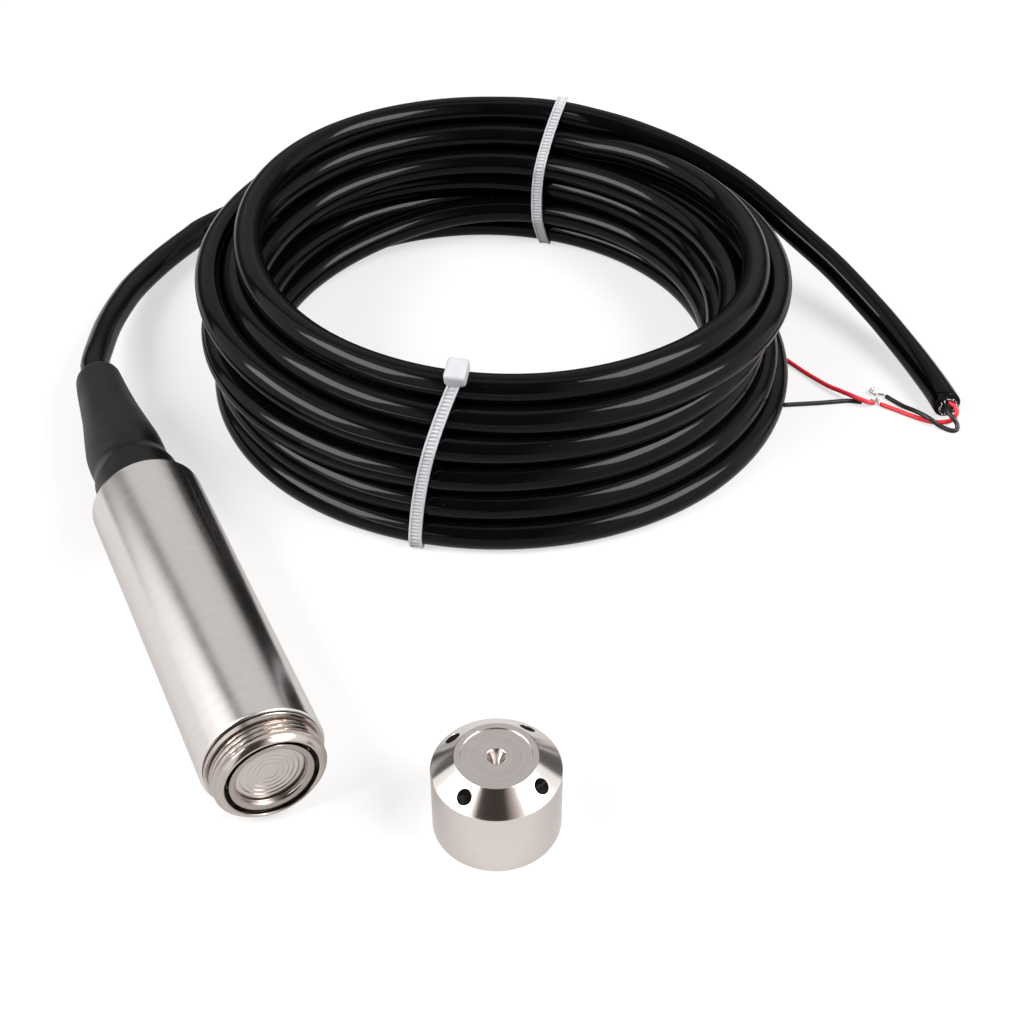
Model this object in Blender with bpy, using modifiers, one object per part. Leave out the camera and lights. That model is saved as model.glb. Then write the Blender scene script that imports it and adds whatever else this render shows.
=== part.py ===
"""Submersible level transmitter: a stainless probe lying on its side, its guard cap standing next to
it, and its vented cable in a tied coil. Metres, +Z up, the floor at z = 0. The probe's axis is along
Y, with the nose towards -Y. The origin is under the middle of the probe and the cap together."""

import math

import bmesh
import bpy
from mathutils import Vector

MM = 0.001

# Clearances
GAP = 0.3 * MM                   # between pieces that touch on the real product
THREAD_CLEARANCE = 0.2 * MM      # radial play between the nose thread and the cap thread

# Pressure sensor
CORE_R = 9.5 * MM
CORE_LENGTH = 13.0 * MM
CORE_FACE_T = 6.6 * MM           # solid front of the core, ahead of the header's pocket
OIL_PORT_R = 1.0 * MM
HEADER_R = 6.3 * MM
HEADER_LENGTH = 5.1 * MM
PIN_R = 0.5 * MM
PIN_LENGTH = 8.6 * MM
PIN_HALF_SPREAD = 3.2 * MM
REFERENCE_TUBE_R = 0.75 * MM
REFERENCE_TUBE_BORE_R = 0.35 * MM
REFERENCE_TUBE_LENGTH = 10.0 * MM
REFERENCE_TUBE_RISE = 4.2 * MM
WELD_RING_RECESS = 0.4 * MM
WELD_RING_LENGTH = 1.5 * MM
WELD_RING_WALL = 1.65 * MM
WELD_RING_CHAMFER = 0.3 * MM
FOIL_T = 0.4 * MM
FOIL_RIM = 0.3 * MM
FOIL_WAVE = 0.16 * MM
FOIL_WAVES = 5
FOIL_FLAT_R = 1.5 * MM
LOCK_RING_LENGTH = 3.0 * MM
LOCK_RING_WALL = 3.2 * MM
LOCK_SLOT_W = 2.0 * MM
LOCK_SLOT_DEPTH = 1.2 * MM

# Seals
O_RING_D = 1.2 * MM
GROOVE_W = 1.9 * MM
CORE_GROOVE_FROM_FACE = 5.0 * MM
HOLDER_GROOVE_FROM_TUBE = 4.0 * MM
PLUG_GROOVE_FROM_FRONT = 1.6 * MM

# Housing
HOLDER_WALL = 0.9 * MM           # between the sensor's bore and the holder's seal groove
TUBE_WALL = 1.5 * MM
BODY_LENGTH = 93.0 * MM
NOSE_LENGTH = 6.5 * MM
HOLDER_SPIGOT = 19.5 * MM
TUBE_FRONT_CHAMFER = 0.5 * MM
TUBE_REAR_CHAMFER = 0.25 * MM
MOUTH_GAP = 1.0 * MM             # round the sensor at the nose's mouth
MOUTH_DEPTH = 3.5 * MM
MOUTH_CHAMFER = 0.2 * MM
LIP_LENGTH = 0.9 * MM
LIP_HEIGHT = 0.3 * MM
THREAD_DEPTH = 0.7 * MM
THREAD_PITCH = 1.25 * MM
THREAD_CRESTS = 3
THREAD_FROM_FACE = 1.0 * MM
NOSE_CHAMFER = 0.4 * MM

# Electronics
BOARD_LENGTH = 34.0 * MM
BOARD_T = 1.6 * MM
BOARD_EDGE_GAP = 0.55 * MM
CHIP = (6.0 * MM, 5.0 * MM, 1.6 * MM)
CHIP_FROM_FRONT = 9.5 * MM
TRIMMER = (4.6 * MM, 4.6 * MM, 3.2 * MM)
TRIMMER_SCREW_R = 1.3 * MM
TRIMMER_SCREW_HEIGHT = 0.5 * MM
TRIMMER_FROM_FRONT = 16.5 * MM
TRIMMER_SIDE = 4.6 * MM
DIODE = (2.4 * MM, 4.2 * MM, 1.9 * MM)
DIODE_FROM_FRONT = 9.5 * MM
DIODE_SIDE = 5.6 * MM
CAPACITOR_R = 2.6 * MM
CAPACITOR_HEIGHT = 6.0 * MM
CAPACITOR_FROM_FRONT = 22.6 * MM
TERMINAL_BLOCK = (10.0 * MM, 6.5 * MM, 6.2 * MM)
TERMINAL_HOLE_R = 1.1 * MM
TERMINAL_HOLE_DEPTH = 3.0 * MM
TERMINAL_HALF_PITCH = 2.5 * MM
TERMINAL_SCREW_R = 1.3 * MM
TERMINAL_SCREW_HEIGHT = 0.9 * MM
SMALL_BEVEL = 0.25 * MM

# Rear closure and cable gland
BOOT_TUCK = 4.2 * MM             # how far the boot goes into the tube
PLUG_LENGTH = 17.0 * MM
PLUG_FRONT_WALL = 4.0 * MM
SEAL_LENGTH = 7.0 * MM
SEAL_WALL = 3.8 * MM
WASHER_T = 1.2 * MM
NUT_HEAD_WALL = 4.5 * MM
NUT_HEAD_LENGTH = 17.0 * MM
NUT_CONE_LENGTH = 10.0 * MM
NUT_CONE_WALL = 1.2 * MM
CABLE_STRIP_BACK = 4.0 * MM      # jacketed cable that shows ahead of the rear plug

# Boot: length past the tube, and its outer radius at stations measured back from the tube's end
BOOT_LENGTH = 59.5 * MM
BOOT_NECK_R = 10.8 * MM
BOOT_NECK_END = 9.5 * MM
BOOT_CREASE_R = 9.85 * MM
BOOT_CREASE_AT = 13.2 * MM
BOOT_BULGE_R = 10.0 * MM
BOOT_BULGE_AT = 18.0 * MM
BOOT_SHOULDER_R = 9.6 * MM
BOOT_SHOULDER_AT = 24.0 * MM
BOOT_TAPER_R = 7.9 * MM
BOOT_TAPER_AT = 37.0 * MM
BOOT_END_R = 6.4 * MM
BOOT_END_CHAMFER = 0.35 * MM
BOOT_LEAN = 2.0 * MM             # the cable pulls the boot's end this far to the side
BOOT_LEAN_LENGTH = 50.0 * MM

# Guard cap
CAP_WALL = 0.9 * MM              # outside the root of its thread
CAP_SIDE_H = 16.8 * MM
CAP_CONE_H = 4.1 * MM
CAP_LAND_R = 8.9 * MM
CAP_RECESS_R = 7.65 * MM
CAP_RECESS_DEPTH = 0.3 * MM
CAP_DIMPLE_R = 2.3 * MM
CAP_DIMPLE_DEPTH = 1.7 * MM
CAP_PILOT_R = 0.8 * MM
CAP_PILOT_DEPTH = 1.6 * MM
CAP_ROOF_T = 5.7 * MM
CAP_THREAD_FROM_RIM = 1.2 * MM
CAP_BORE_STEP = 0.2 * MM
CAP_CHAMFER = 0.2 * MM
CAP_HOLE_R = 1.75 * MM
CAP_HOLES = 4
CAP_FIRST_HOLE_DEG = 30.1
CAP_ASIDE = 43.1 * MM            # from the probe's axis to the cap's, across
CAP_AHEAD = 25.8 * MM            # from the tube's front edge to the cap's axis, forward

# Cable, its two cores and the ties
CABLE_R = 3.9 * MM
LEAD_STUB = 2.4 * MM             # straight start of the lead, out of the boot
WIRE_R = 0.575 * MM
STRANDS_R = 0.35 * MM
BREATHER_R = 0.7 * MM
BREATHER_LENGTH = 8.0 * MM
BRAID_R = 2.9 * MM
BRAID_BORE_R = 2.3 * MM
BRAID_LENGTH = 1.2 * MM
TIE_T = 1.2 * MM
TIE_W = 3.3 * MM
TIE_CORNER = 6.0 * MM
TIE_HEAD = (6.4 * MM, 7.4 * MM, 4.4 * MM)    # across the strap, along it, and proud of it
TIE_HEAD_SINK = 0.6 * MM
COIL_INNER_R = 62.8 * MM
COIL_OUTER_R = 84.2 * MM
COIL_TOP = 45.0 * MM
COIL_CORNER = 6.0 * MM
FRONT_TIE_DEG = -127.0
REAR_TIE_DEG = 52.5

# Places chosen by hand, in mm. The lead starts at the boot's end and the coil's middle is measured
# from there, across and along the probe. The rest is measured from the coil's middle. Heights are
# above the floor.
LEAD_ROUTE = [(1.5, 6.6, 13.6), (3.7, 12.4, 12.7), (9.6, 27.0, 10.0), (16.6, 40.2, 7.8),
              (23.8, 51.0, 6.2), (35.3, 63.5, 4.7), (47.6, 73.5, 4.05), (53.5, 77.5, 3.95),
              (70.3, 83.4, 3.95), (90.6, 84.8, 3.95), (110.1, 80.4, 3.95), (127.3, 71.4, 3.95),
              (141.4, 60.2, 3.95), (147.7, 51.8, 3.95)]
COIL_MIDDLE = (110.1, -26.5)
TAIL_ROUTE = [(80.1, 37.7, 33.4), (84.3, 33.6, 31.4), (91.1, 25.5, 27.6), (96.6, 16.6, 23.5),
              (102.7, 2.5, 17.5), (107.3, -13.1, 12.7), (109.6, -32.2, 8.1), (109.7, -43.4, 6.1),
              (109.0, -54.8, 4.7), (107.1, -67.3, 4.0), (105.2, -75.1, 3.95)]
RED_ROUTE = [(106.0, -75.8, 4.6), (106.5, -77.3, 4.2), (106.0, -78.6, 2.8), (104.0, -78.8, 1.2),
             (100.4, -77.0, 0.65), (97.9, -74.4, 0.6), (95.7, -71.0, 0.6), (93.6, -67.4, 0.6),
             (91.3, -63.5, 0.6)]
RED_STRAND_ROUTE = [(91.05, -62.9, 0.6), (91.0, -62.0, 0.6), (91.6, -61.1, 0.6)]
RED_TIP_ROUTE = [(89.7, -62.6, 0.9), (88.0, -62.3, 1.6), (86.4, -61.4, 2.15), (85.3, -59.7, 2.2),
                 (84.6, -57.2, 1.8), (83.5, -54.1, 0.8), (81.8, -50.4, 0.65), (80.2, -42.1, 0.6),
                 (78.4, -33.4, 0.6)]
BLACK_ROUTE = [(104.2, -75.5, 3.5), (103.7, -77.4, 3.6), (103.9, -79.6, 3.1), (104.4, -81.3, 1.9),
               (103.7, -82.5, 0.8), (102.1, -81.9, 0.65), (100.3, -79.2, 1.0), (98.5, -76.2, 2.2),
               (97.2, -71.8, 2.0), (96.3, -67.0, 0.9), (94.9, -61.1, 0.6)]
BLACK_STRAND_ROUTE = [(94.7, -60.5, 0.6), (93.3, -59.7, 0.6), (92.3, -59.3, 0.6),
                      (92.1, -58.3, 0.6), (93.3, -57.2, 0.6), (95.1, -57.3, 0.6)]
BLACK_TIP_ROUTE = [(87.1, -60.5, 0.6), (84.8, -58.9, 0.6), (83.0, -58.0, 0.6), (75.2, -55.5, 0.6),
                   (66.0, -52.2, 0.6)]

# Facets
BODY_SIDES = 40
PIECE_SIDES = 28
SMALL_SIDES = 12
COIL_SIDES = 56

# Places along the probe, from the nose's face back
WELD_FRONT = WELD_RING_RECESS
WELD_REAR = WELD_FRONT + WELD_RING_LENGTH
FOIL_FRONT = WELD_REAR + GAP
FOIL_REAR = FOIL_FRONT + FOIL_T
CORE_FRONT = FOIL_REAR + GAP
CORE_REAR = CORE_FRONT + CORE_LENGTH
HEADER_FRONT = CORE_FRONT + CORE_FACE_T + GAP
PIN_FRONT = HEADER_FRONT + HEADER_LENGTH + GAP
LOCK_FRONT = CORE_REAR + GAP
LOCK_REAR = LOCK_FRONT + LOCK_RING_LENGTH
BOARD_FRONT = LOCK_REAR + 2 * GAP
BOARD_REAR = BOARD_FRONT + BOARD_LENGTH
TUBE_FRONT = NOSE_LENGTH
TUBE_REAR = TUBE_FRONT + BODY_LENGTH
HOLDER_REAR = TUBE_FRONT + HOLDER_SPIGOT
BOOT_FRONT = TUBE_REAR - BOOT_TUCK
BOOT_REAR = TUBE_REAR + BOOT_LENGTH
PLUG_REAR = BOOT_FRONT - GAP
PLUG_FRONT = PLUG_REAR - PLUG_LENGTH
SEAL_FRONT = PLUG_FRONT + PLUG_FRONT_WALL + GAP
SEAL_REAR = SEAL_FRONT + SEAL_LENGTH
WASHER_FRONT = SEAL_REAR + GAP
WASHER_REAR = WASHER_FRONT + WASHER_T
NUT_FRONT = WASHER_REAR + GAP
NUT_HEAD_FRONT = PLUG_REAR + GAP
NUT_HEAD_REAR = NUT_HEAD_FRONT + NUT_HEAD_LENGTH
NUT_REAR = NUT_HEAD_REAR + NUT_CONE_LENGTH
CABLE_FRONT = PLUG_FRONT - CABLE_STRIP_BACK

# Radii that follow from the sensor outwards
SEAL_SPACE = O_RING_D + 2 * GAP
BORE_R = CORE_R + GAP
MOUTH_R = CORE_R + MOUTH_GAP
HOLDER_GROOVE_R = BORE_R + HOLDER_WALL
TUBE_BORE_R = HOLDER_GROOVE_R + SEAL_SPACE
BODY_R = TUBE_BORE_R + TUBE_WALL
SPIGOT_R = TUBE_BORE_R - GAP
CORE_GROOVE_R = BORE_R - SEAL_SPACE
LOCK_BORE_R = HOLDER_GROOVE_R
LOCK_R = LOCK_BORE_R - GAP
PLUG_GROOVE_R = TUBE_BORE_R - SEAL_SPACE
CAP_GROOVE_R = BODY_R - CAP_WALL
CREST_R = CAP_GROOVE_R - THREAD_CLEARANCE
ROOT_R = CREST_R - THREAD_DEPTH
CABLE_BORE_R = CABLE_R + GAP
SEAL_R = CABLE_BORE_R + SEAL_WALL
SOCKET_R = SEAL_R + GAP
NUT_HEAD_R = CABLE_BORE_R + NUT_HEAD_WALL
NUT_END_R = CABLE_BORE_R + NUT_CONE_WALL
CAP_H = CAP_SIDE_H + CAP_CONE_H

# Where the probe and the cap lie: the origin is under the middle of both
AXIS_Z = BODY_R
PROBE_X = -CAP_ASIDE / 2
NOSE_Y = (CAP_AHEAD + BODY_R - BODY_LENGTH - BOOT_LENGTH) / 2 - NOSE_LENGTH
CAP_X = PROBE_X + CAP_ASIDE
CAP_Y = NOSE_Y + TUBE_FRONT - CAP_AHEAD
EXIT_X = PROBE_X + BOOT_LEAN
EXIT_Y = NOSE_Y + BOOT_REAR
COIL_X = EXIT_X + COIL_MIDDLE[0] * MM
COIL_Y = EXIT_Y + COIL_MIDDLE[1] * MM
COIL_BOTTOM = TIE_T + GAP        # the straps pass under the coil

COLOURS = {
    "steel": ((0.62, 0.60, 0.58), 0.32, 1.0),
    "bright_steel": ((0.72, 0.71, 0.70), 0.2, 1.0),
    "foil": ((0.68, 0.66, 0.64), 0.28, 1.0),
    "rubber": ((0.03, 0.03, 0.033), 0.7, 0.0),
    "jacket": ((0.012, 0.012, 0.014), 0.25, 0.0),
    "boot": ((0.035, 0.035, 0.038), 0.6, 0.0),
    "nylon": ((0.82, 0.83, 0.85), 0.35, 0.0),
    "red": ((0.80, 0.03, 0.05), 0.35, 0.0),
    "black": ((0.015, 0.015, 0.017), 0.35, 0.0),
    "copper": ((0.75, 0.72, 0.68), 0.3, 1.0),
    "board": ((0.02, 0.16, 0.07), 0.45, 0.0),
    "blue": ((0.03, 0.12, 0.45), 0.45, 0.0),
    "green": ((0.05, 0.35, 0.16), 0.45, 0.0),
    "glass": ((0.08, 0.10, 0.12), 0.15, 0.0),
    "brass": ((0.70, 0.52, 0.22), 0.3, 1.0),
}


def clear_scene():
    """Remove every object that the file opens with."""
    for obj in list(bpy.data.objects):
        bpy.data.objects.remove(obj, do_unlink=True)


def new_collection(name):
    """Make a collection and link it to the scene."""
    group = bpy.data.collections.new(name)
    bpy.context.scene.collection.children.link(group)
    return group


def dress(obj, finish):
    """Give the object its own material."""
    colour, roughness, metallic = COLOURS[finish]
    material = bpy.data.materials.new(obj.name + "_" + finish)
    material.use_nodes = True
    shader = material.node_tree.nodes["Principled BSDF"]
    shader.inputs["Base Color"].default_value = (*colour, 1.0)
    shader.inputs["Roughness"].default_value = roughness
    shader.inputs["Metallic"].default_value = metallic
    obj.data.materials.clear()
    obj.data.materials.append(material)
    return obj


def link(obj, finish=None):
    """Put a finished piece in the part's collection, or a cutter in the cutters' one."""
    for group in list(obj.users_collection):
        group.objects.unlink(obj)
    if finish is None:
        CUTTERS.objects.link(obj)
        obj.hide_render = True
        obj.display_type = "WIRE"
    else:
        PIECES.objects.link(obj)
        dress(obj, finish)
    return obj


def turned(name, finish, profile, sides, closed=True, parent=None):
    """Turn a profile of (radius, height) points, which runs down the outer side, round local Z."""
    mesh = bpy.data.meshes.new(name)
    edges = [(i, i + 1) for i in range(len(profile) - 1)]
    if closed:
        edges.append((len(profile) - 1, 0))
    mesh.from_pydata([(radius, 0.0, height) for radius, height in profile], edges, [])
    obj = bpy.data.objects.new(name, mesh)
    link(obj, finish)
    screw = obj.modifiers.new("Turn", "SCREW")
    screw.steps = sides
    screw.render_steps = sides
    screw.use_merge_vertices = True
    screw.merge_threshold = 0.00001
    screw.use_smooth_shade = True
    obj.parent = parent
    return obj


def probe_turned(name, finish, profile, sides=PIECE_SIDES, closed=True):
    """Turn a profile of (radius, place along the probe) points, which runs forward outside."""
    return turned(name, finish, profile, sides, closed, PROBE_AXIS)


def at(side, along, up):
    """World place of a point inside the probe."""
    return Vector((PROBE_X + side, NOSE_Y + along, AXIS_Z + up))


def box(name, finish, size, place, bevel=SMALL_BEVEL):
    """A box with softened edges. A cutter has no finish."""
    bpy.ops.mesh.primitive_cube_add(size=1.0, location=place)
    obj = bpy.context.object
    obj.name = name
    obj.data.name = name
    obj.data.transform([[size[0], 0, 0, 0], [0, size[1], 0, 0], [0, 0, size[2], 0], [0, 0, 0, 1]])
    link(obj, finish)
    if bevel:
        soften = obj.modifiers.new("Soften", "BEVEL")
        soften.width = bevel
        soften.segments = 1
    return obj


def rod(name, finish, radius, length, place, direction, sides=SMALL_SIDES):
    """A round rod whose middle is at the place."""
    turn = Vector(direction).to_track_quat("Z", "Y").to_euler()
    bpy.ops.mesh.primitive_cylinder_add(vertices=sides, radius=radius, depth=length,
                                        location=place, rotation=turn)
    obj = bpy.context.object
    obj.name = name
    obj.data.name = name
    obj.data.shade_smooth()
    obj.data.set_sharp_from_angle(angle=math.radians(40))
    return link(obj, finish)


def combine(obj, tool, operation="DIFFERENCE"):
    """Cut a tool from a piece, or join the two."""
    step = obj.modifiers.new(tool.name, "BOOLEAN")
    step.operation = operation
    step.solver = "EXACT"
    step.object = tool


def smooth_route(points, spacing):
    """Points at an even spacing on a smooth curve through the given ones."""
    given = [Vector(point) for point in points]
    ends = [given[0] * 2 - given[1]] + given + [given[-1] * 2 - given[-2]]
    fine = []
    for a, b, c, d in zip(ends, ends[1:], ends[2:], ends[3:]):
        for step in range(12):
            t = step / 12
            fine.append(0.5 * (2 * b + (c - a) * t + (2 * a - 5 * b + 4 * c - d) * t * t
                               + (3 * b - a - 3 * c + d) * t * t * t))
    fine.append(given[-1])
    lengths = [0.0]
    for a, b in zip(fine, fine[1:]):
        lengths.append(lengths[-1] + (b - a).length)
    count = max(2, round(lengths[-1] / spacing))
    even = []
    place = 0
    for number in range(count + 1):
        target = lengths[-1] * number / count
        while place < len(fine) - 2 and lengths[place + 1] < target:
            place += 1
        share = (target - lengths[place]) / (lengths[place + 1] - lengths[place])
        even.append(fine[place].lerp(fine[place + 1], min(max(share, 0.0), 1.0)))
    return even


def tube(name, finish, points, radius, resolution=2):
    """A round tube along a route, with closed ends."""
    curve = bpy.data.curves.new(name, "CURVE")
    curve.dimensions = "3D"
    curve.bevel_depth = radius
    curve.bevel_resolution = resolution
    curve.use_fill_caps = True
    spline = curve.splines.new("POLY")
    spline.points.add(len(points) - 1)
    for knot, point in zip(spline.points, points):
        knot.co = (*point, 1.0)
    return link(bpy.data.objects.new(name, curve), finish)


def torus(name, radius, along):
    """A seal ring round the probe's axis."""
    bpy.ops.mesh.primitive_torus_add(major_radius=radius, minor_radius=O_RING_D / 2,
                                     major_segments=PIECE_SIDES, minor_segments=8,
                                     location=at(0, along, 0), rotation=(math.pi / 2, 0, 0))
    obj = bpy.context.object
    obj.name = name
    obj.data.name = name
    obj.data.shade_smooth()
    return link(obj, "rubber")


def thread_points(root, crest, first, step):
    """Thread ridges as (radius, place) points, from the first ridge on in steps of a pitch."""
    flat = THREAD_PITCH * 0.15 * (1 if step > 0 else -1)
    slope = THREAD_PITCH * 0.3 * (1 if step > 0 else -1)
    points = []
    for ridge in range(THREAD_CRESTS):
        middle = first + ridge * step
        points += [(root, middle - flat - slope), (crest, middle - flat),
                   (crest, middle + flat), (root, middle + flat + slope)]
    return points


def build_sensor_holder():
    groove = TUBE_FRONT + HOLDER_GROOVE_FROM_TUBE
    lip_rear = TUBE_FRONT - GAP
    last_crest = THREAD_FROM_FACE + (THREAD_CRESTS - 1) * THREAD_PITCH
    profile = [(SPIGOT_R, HOLDER_REAR), (SPIGOT_R, groove + GROOVE_W),
               (HOLDER_GROOVE_R, groove + GROOVE_W), (HOLDER_GROOVE_R, groove),
               (SPIGOT_R, groove), (SPIGOT_R, lip_rear),
               (CREST_R + LIP_HEIGHT, lip_rear), (CREST_R + LIP_HEIGHT, lip_rear - LIP_LENGTH),
               (ROOT_R, lip_rear - LIP_LENGTH)]
    profile += thread_points(ROOT_R, CREST_R, last_crest, -THREAD_PITCH)
    profile += [(CREST_R - NOSE_CHAMFER, 0.0), (MOUTH_R + MOUTH_CHAMFER, 0.0),
                (MOUTH_R, MOUTH_CHAMFER), (MOUTH_R, MOUTH_DEPTH), (BORE_R, MOUTH_DEPTH),
                (BORE_R, CORE_REAR), (LOCK_BORE_R, CORE_REAR), (LOCK_BORE_R, HOLDER_REAR)]
    probe_turned("sensor_holder", "bright_steel", profile, BODY_SIDES)
    torus("holder_o_ring", HOLDER_GROOVE_R + SEAL_SPACE / 2, groove + GROOVE_W / 2)


def build_housing_tube():
    profile = [(BODY_R - TUBE_REAR_CHAMFER, TUBE_REAR), (BODY_R, TUBE_REAR - TUBE_REAR_CHAMFER),
               (BODY_R, TUBE_FRONT + TUBE_FRONT_CHAMFER),
               (BODY_R - TUBE_FRONT_CHAMFER, TUBE_FRONT),
               (TUBE_BORE_R, TUBE_FRONT), (TUBE_BORE_R, TUBE_REAR)]
    probe_turned("housing_tube", "steel", profile, BODY_SIDES)


def foil_height(radius):
    """How far the foil's wave stands back from its flat at a radius."""
    waves_end = CORE_R - WELD_RING_WALL - FOIL_RIM
    if radius <= FOIL_FLAT_R or radius >= waves_end:
        return 0.0
    turn = (radius - FOIL_FLAT_R) / (waves_end - FOIL_FLAT_R) * FOIL_WAVES * 2 * math.pi
    return FOIL_WAVE * (1 - math.cos(turn)) / 2


def build_sensor():
    probe_turned("weld_ring", "bright_steel",
                 [(CORE_R, WELD_REAR), (CORE_R, WELD_FRONT + WELD_RING_CHAMFER),
                  (CORE_R - WELD_RING_CHAMFER, WELD_FRONT), (CORE_R - WELD_RING_WALL, WELD_FRONT),
                  (CORE_R - WELD_RING_WALL, WELD_REAR)])
    waves_end = CORE_R - WELD_RING_WALL - FOIL_RIM
    stations = [0.0, FOIL_FLAT_R]
    for half in range(1, 2 * FOIL_WAVES + 1):
        stations.append(FOIL_FLAT_R + (waves_end - FOIL_FLAT_R) * half / (2 * FOIL_WAVES))
    stations.append(CORE_R - FOIL_RIM)
    back = [(radius, FOIL_REAR + foil_height(radius)) for radius in stations]
    front = [(radius, FOIL_FRONT + foil_height(radius)) for radius in reversed(stations)]
    probe_turned("diaphragm", "foil", back + front, closed=False)
    groove = CORE_FRONT + CORE_GROOVE_FROM_FACE
    probe_turned("sensor_core", "steel",
                 [(CORE_R, CORE_REAR), (CORE_R, groove + GROOVE_W),
                  (CORE_GROOVE_R, groove + GROOVE_W), (CORE_GROOVE_R, groove), (CORE_R, groove),
                  (CORE_R, CORE_FRONT), (OIL_PORT_R, CORE_FRONT),
                  (OIL_PORT_R, CORE_FRONT + CORE_FACE_T),
                  (HEADER_R + GAP, CORE_FRONT + CORE_FACE_T), (HEADER_R + GAP, CORE_REAR)])
    torus("sensor_o_ring", CORE_GROOVE_R + SEAL_SPACE / 2, groove + GROOVE_W / 2)
    rod("glass_header", "glass", HEADER_R, HEADER_LENGTH, at(0, HEADER_FRONT + HEADER_LENGTH / 2, 0),
        (0, 1, 0), PIECE_SIDES)
    pin_height = BOARD_T / 2 + GAP + PIN_R
    corners = [(side, up) for side in (-1, 1) for up in (-1, 1)]
    for number, (side, up) in enumerate(corners, start=1):
        rod(f"header_pin_{number}", "brass", PIN_R, PIN_LENGTH,
            at(side * PIN_HALF_SPREAD, PIN_FRONT + PIN_LENGTH / 2, up * pin_height), (0, 1, 0))
    vent = turned("reference_tube", "copper",
                  [(REFERENCE_TUBE_R, REFERENCE_TUBE_LENGTH), (REFERENCE_TUBE_R, 0.0),
                   (REFERENCE_TUBE_BORE_R, 0.0), (REFERENCE_TUBE_BORE_R, REFERENCE_TUBE_LENGTH)],
                  SMALL_SIDES)
    vent.location = at(0, PIN_FRONT, REFERENCE_TUBE_RISE)
    vent.rotation_euler = (-math.pi / 2, 0, 0)
    ring = probe_turned("sensor_lock_ring", "steel",
                        [(LOCK_R, LOCK_REAR), (LOCK_R, LOCK_FRONT),
                         (LOCK_R - LOCK_RING_WALL, LOCK_FRONT),
                         (LOCK_R - LOCK_RING_WALL, LOCK_REAR)])
    slot = box("lock_ring_slot", None, (LOCK_SLOT_W, 2 * LOCK_SLOT_DEPTH, 3 * LOCK_R),
               at(0, LOCK_REAR, 0), bevel=0)
    combine(ring, slot)


def on_board(name, finish, size, from_front, side):
    """A component that stands on the board's upper face."""
    return box(name, finish, size,
               at(side, BOARD_FRONT + from_front, BOARD_T / 2 + GAP + size[2] / 2))


def build_electronics():
    board_width = 2 * (LOCK_BORE_R - BOARD_EDGE_GAP)
    box("circuit_board", "board", (board_width, BOARD_LENGTH, BOARD_T),
        at(0, (BOARD_FRONT + BOARD_REAR) / 2, 0), bevel=0)
    on_board("amplifier_chip", "black", CHIP, CHIP_FROM_FRONT, 0.0)
    on_board("protection_diode", "black", DIODE, DIODE_FROM_FRONT, DIODE_SIDE)
    for name, side in (("zero_trimmer", -TRIMMER_SIDE), ("span_trimmer", TRIMMER_SIDE)):
        trimmer = on_board(name, "blue", TRIMMER, TRIMMER_FROM_FRONT, side)
        top = BOARD_T / 2 + GAP + TRIMMER[2]
        screw = rod(name + "_screw", None, TRIMMER_SCREW_R, 2 * TRIMMER_SCREW_HEIGHT,
                    at(side, BOARD_FRONT + TRIMMER_FROM_FRONT, top), (0, 0, 1))
        combine(trimmer, screw, "UNION")
    rod("loop_capacitor", "brass", CAPACITOR_R, CAPACITOR_HEIGHT,
        at(0, BOARD_FRONT + CAPACITOR_FROM_FRONT, BOARD_T / 2 + GAP + CAPACITOR_HEIGHT / 2),
        (0, 0, 1), 16)
    block_from_front = BOARD_LENGTH - TERMINAL_BLOCK[1] / 2
    block = on_board("terminal_block", "green", TERMINAL_BLOCK, block_from_front, 0.0)
    wire_up = BOARD_T / 2 + GAP + TERMINAL_BLOCK[2] / 2
    block_top = BOARD_T / 2 + GAP + TERMINAL_BLOCK[2]
    for number, side in ((1, -TERMINAL_HALF_PITCH), (2, TERMINAL_HALF_PITCH)):
        entry = rod(f"terminal_entry_{number}", None, TERMINAL_HOLE_R, 2 * TERMINAL_HOLE_DEPTH,
                    at(side, BOARD_REAR, wire_up), (0, 1, 0))
        combine(block, entry)
        rod(f"terminal_screw_{number}", "bright_steel", TERMINAL_SCREW_R, TERMINAL_SCREW_HEIGHT,
            at(side, BOARD_REAR - TERMINAL_BLOCK[1] / 2,
               block_top + GAP + TERMINAL_SCREW_HEIGHT / 2), (0, 0, 1))
    build_inner_wires(wire_up)


def build_inner_wires(wire_up):
    """The two cores from the terminal block's entries to the end of the jacketed cable."""
    start = BOARD_REAR - TERMINAL_HOLE_DEPTH + 2 * GAP
    end = CABLE_FRONT - GAP
    for name, finish, side in (("supply_wire_red", "red", -1), ("supply_wire_black", "black", 1)):
        shape = []
        for station in range(9):
            share = max(0.0, (station - 2) / 6)
            ease = share * share * (3 - 2 * share)
            spread = TERMINAL_HALF_PITCH * (1 - ease) + 1.4 * MM * ease
            along = start + (end - start) * station / 8
            shape.append(at(side * spread, along, wire_up * (1 - ease)))
        tube(name, finish, shape, WIRE_R)
    rise = BREATHER_R + WIRE_R + 2 * GAP
    tube("breather_tube", "nylon",
         [at(0, end - BREATHER_LENGTH, rise), at(0, end - BREATHER_LENGTH / 2, rise),
          at(0, end, rise)], BREATHER_R)


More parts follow.
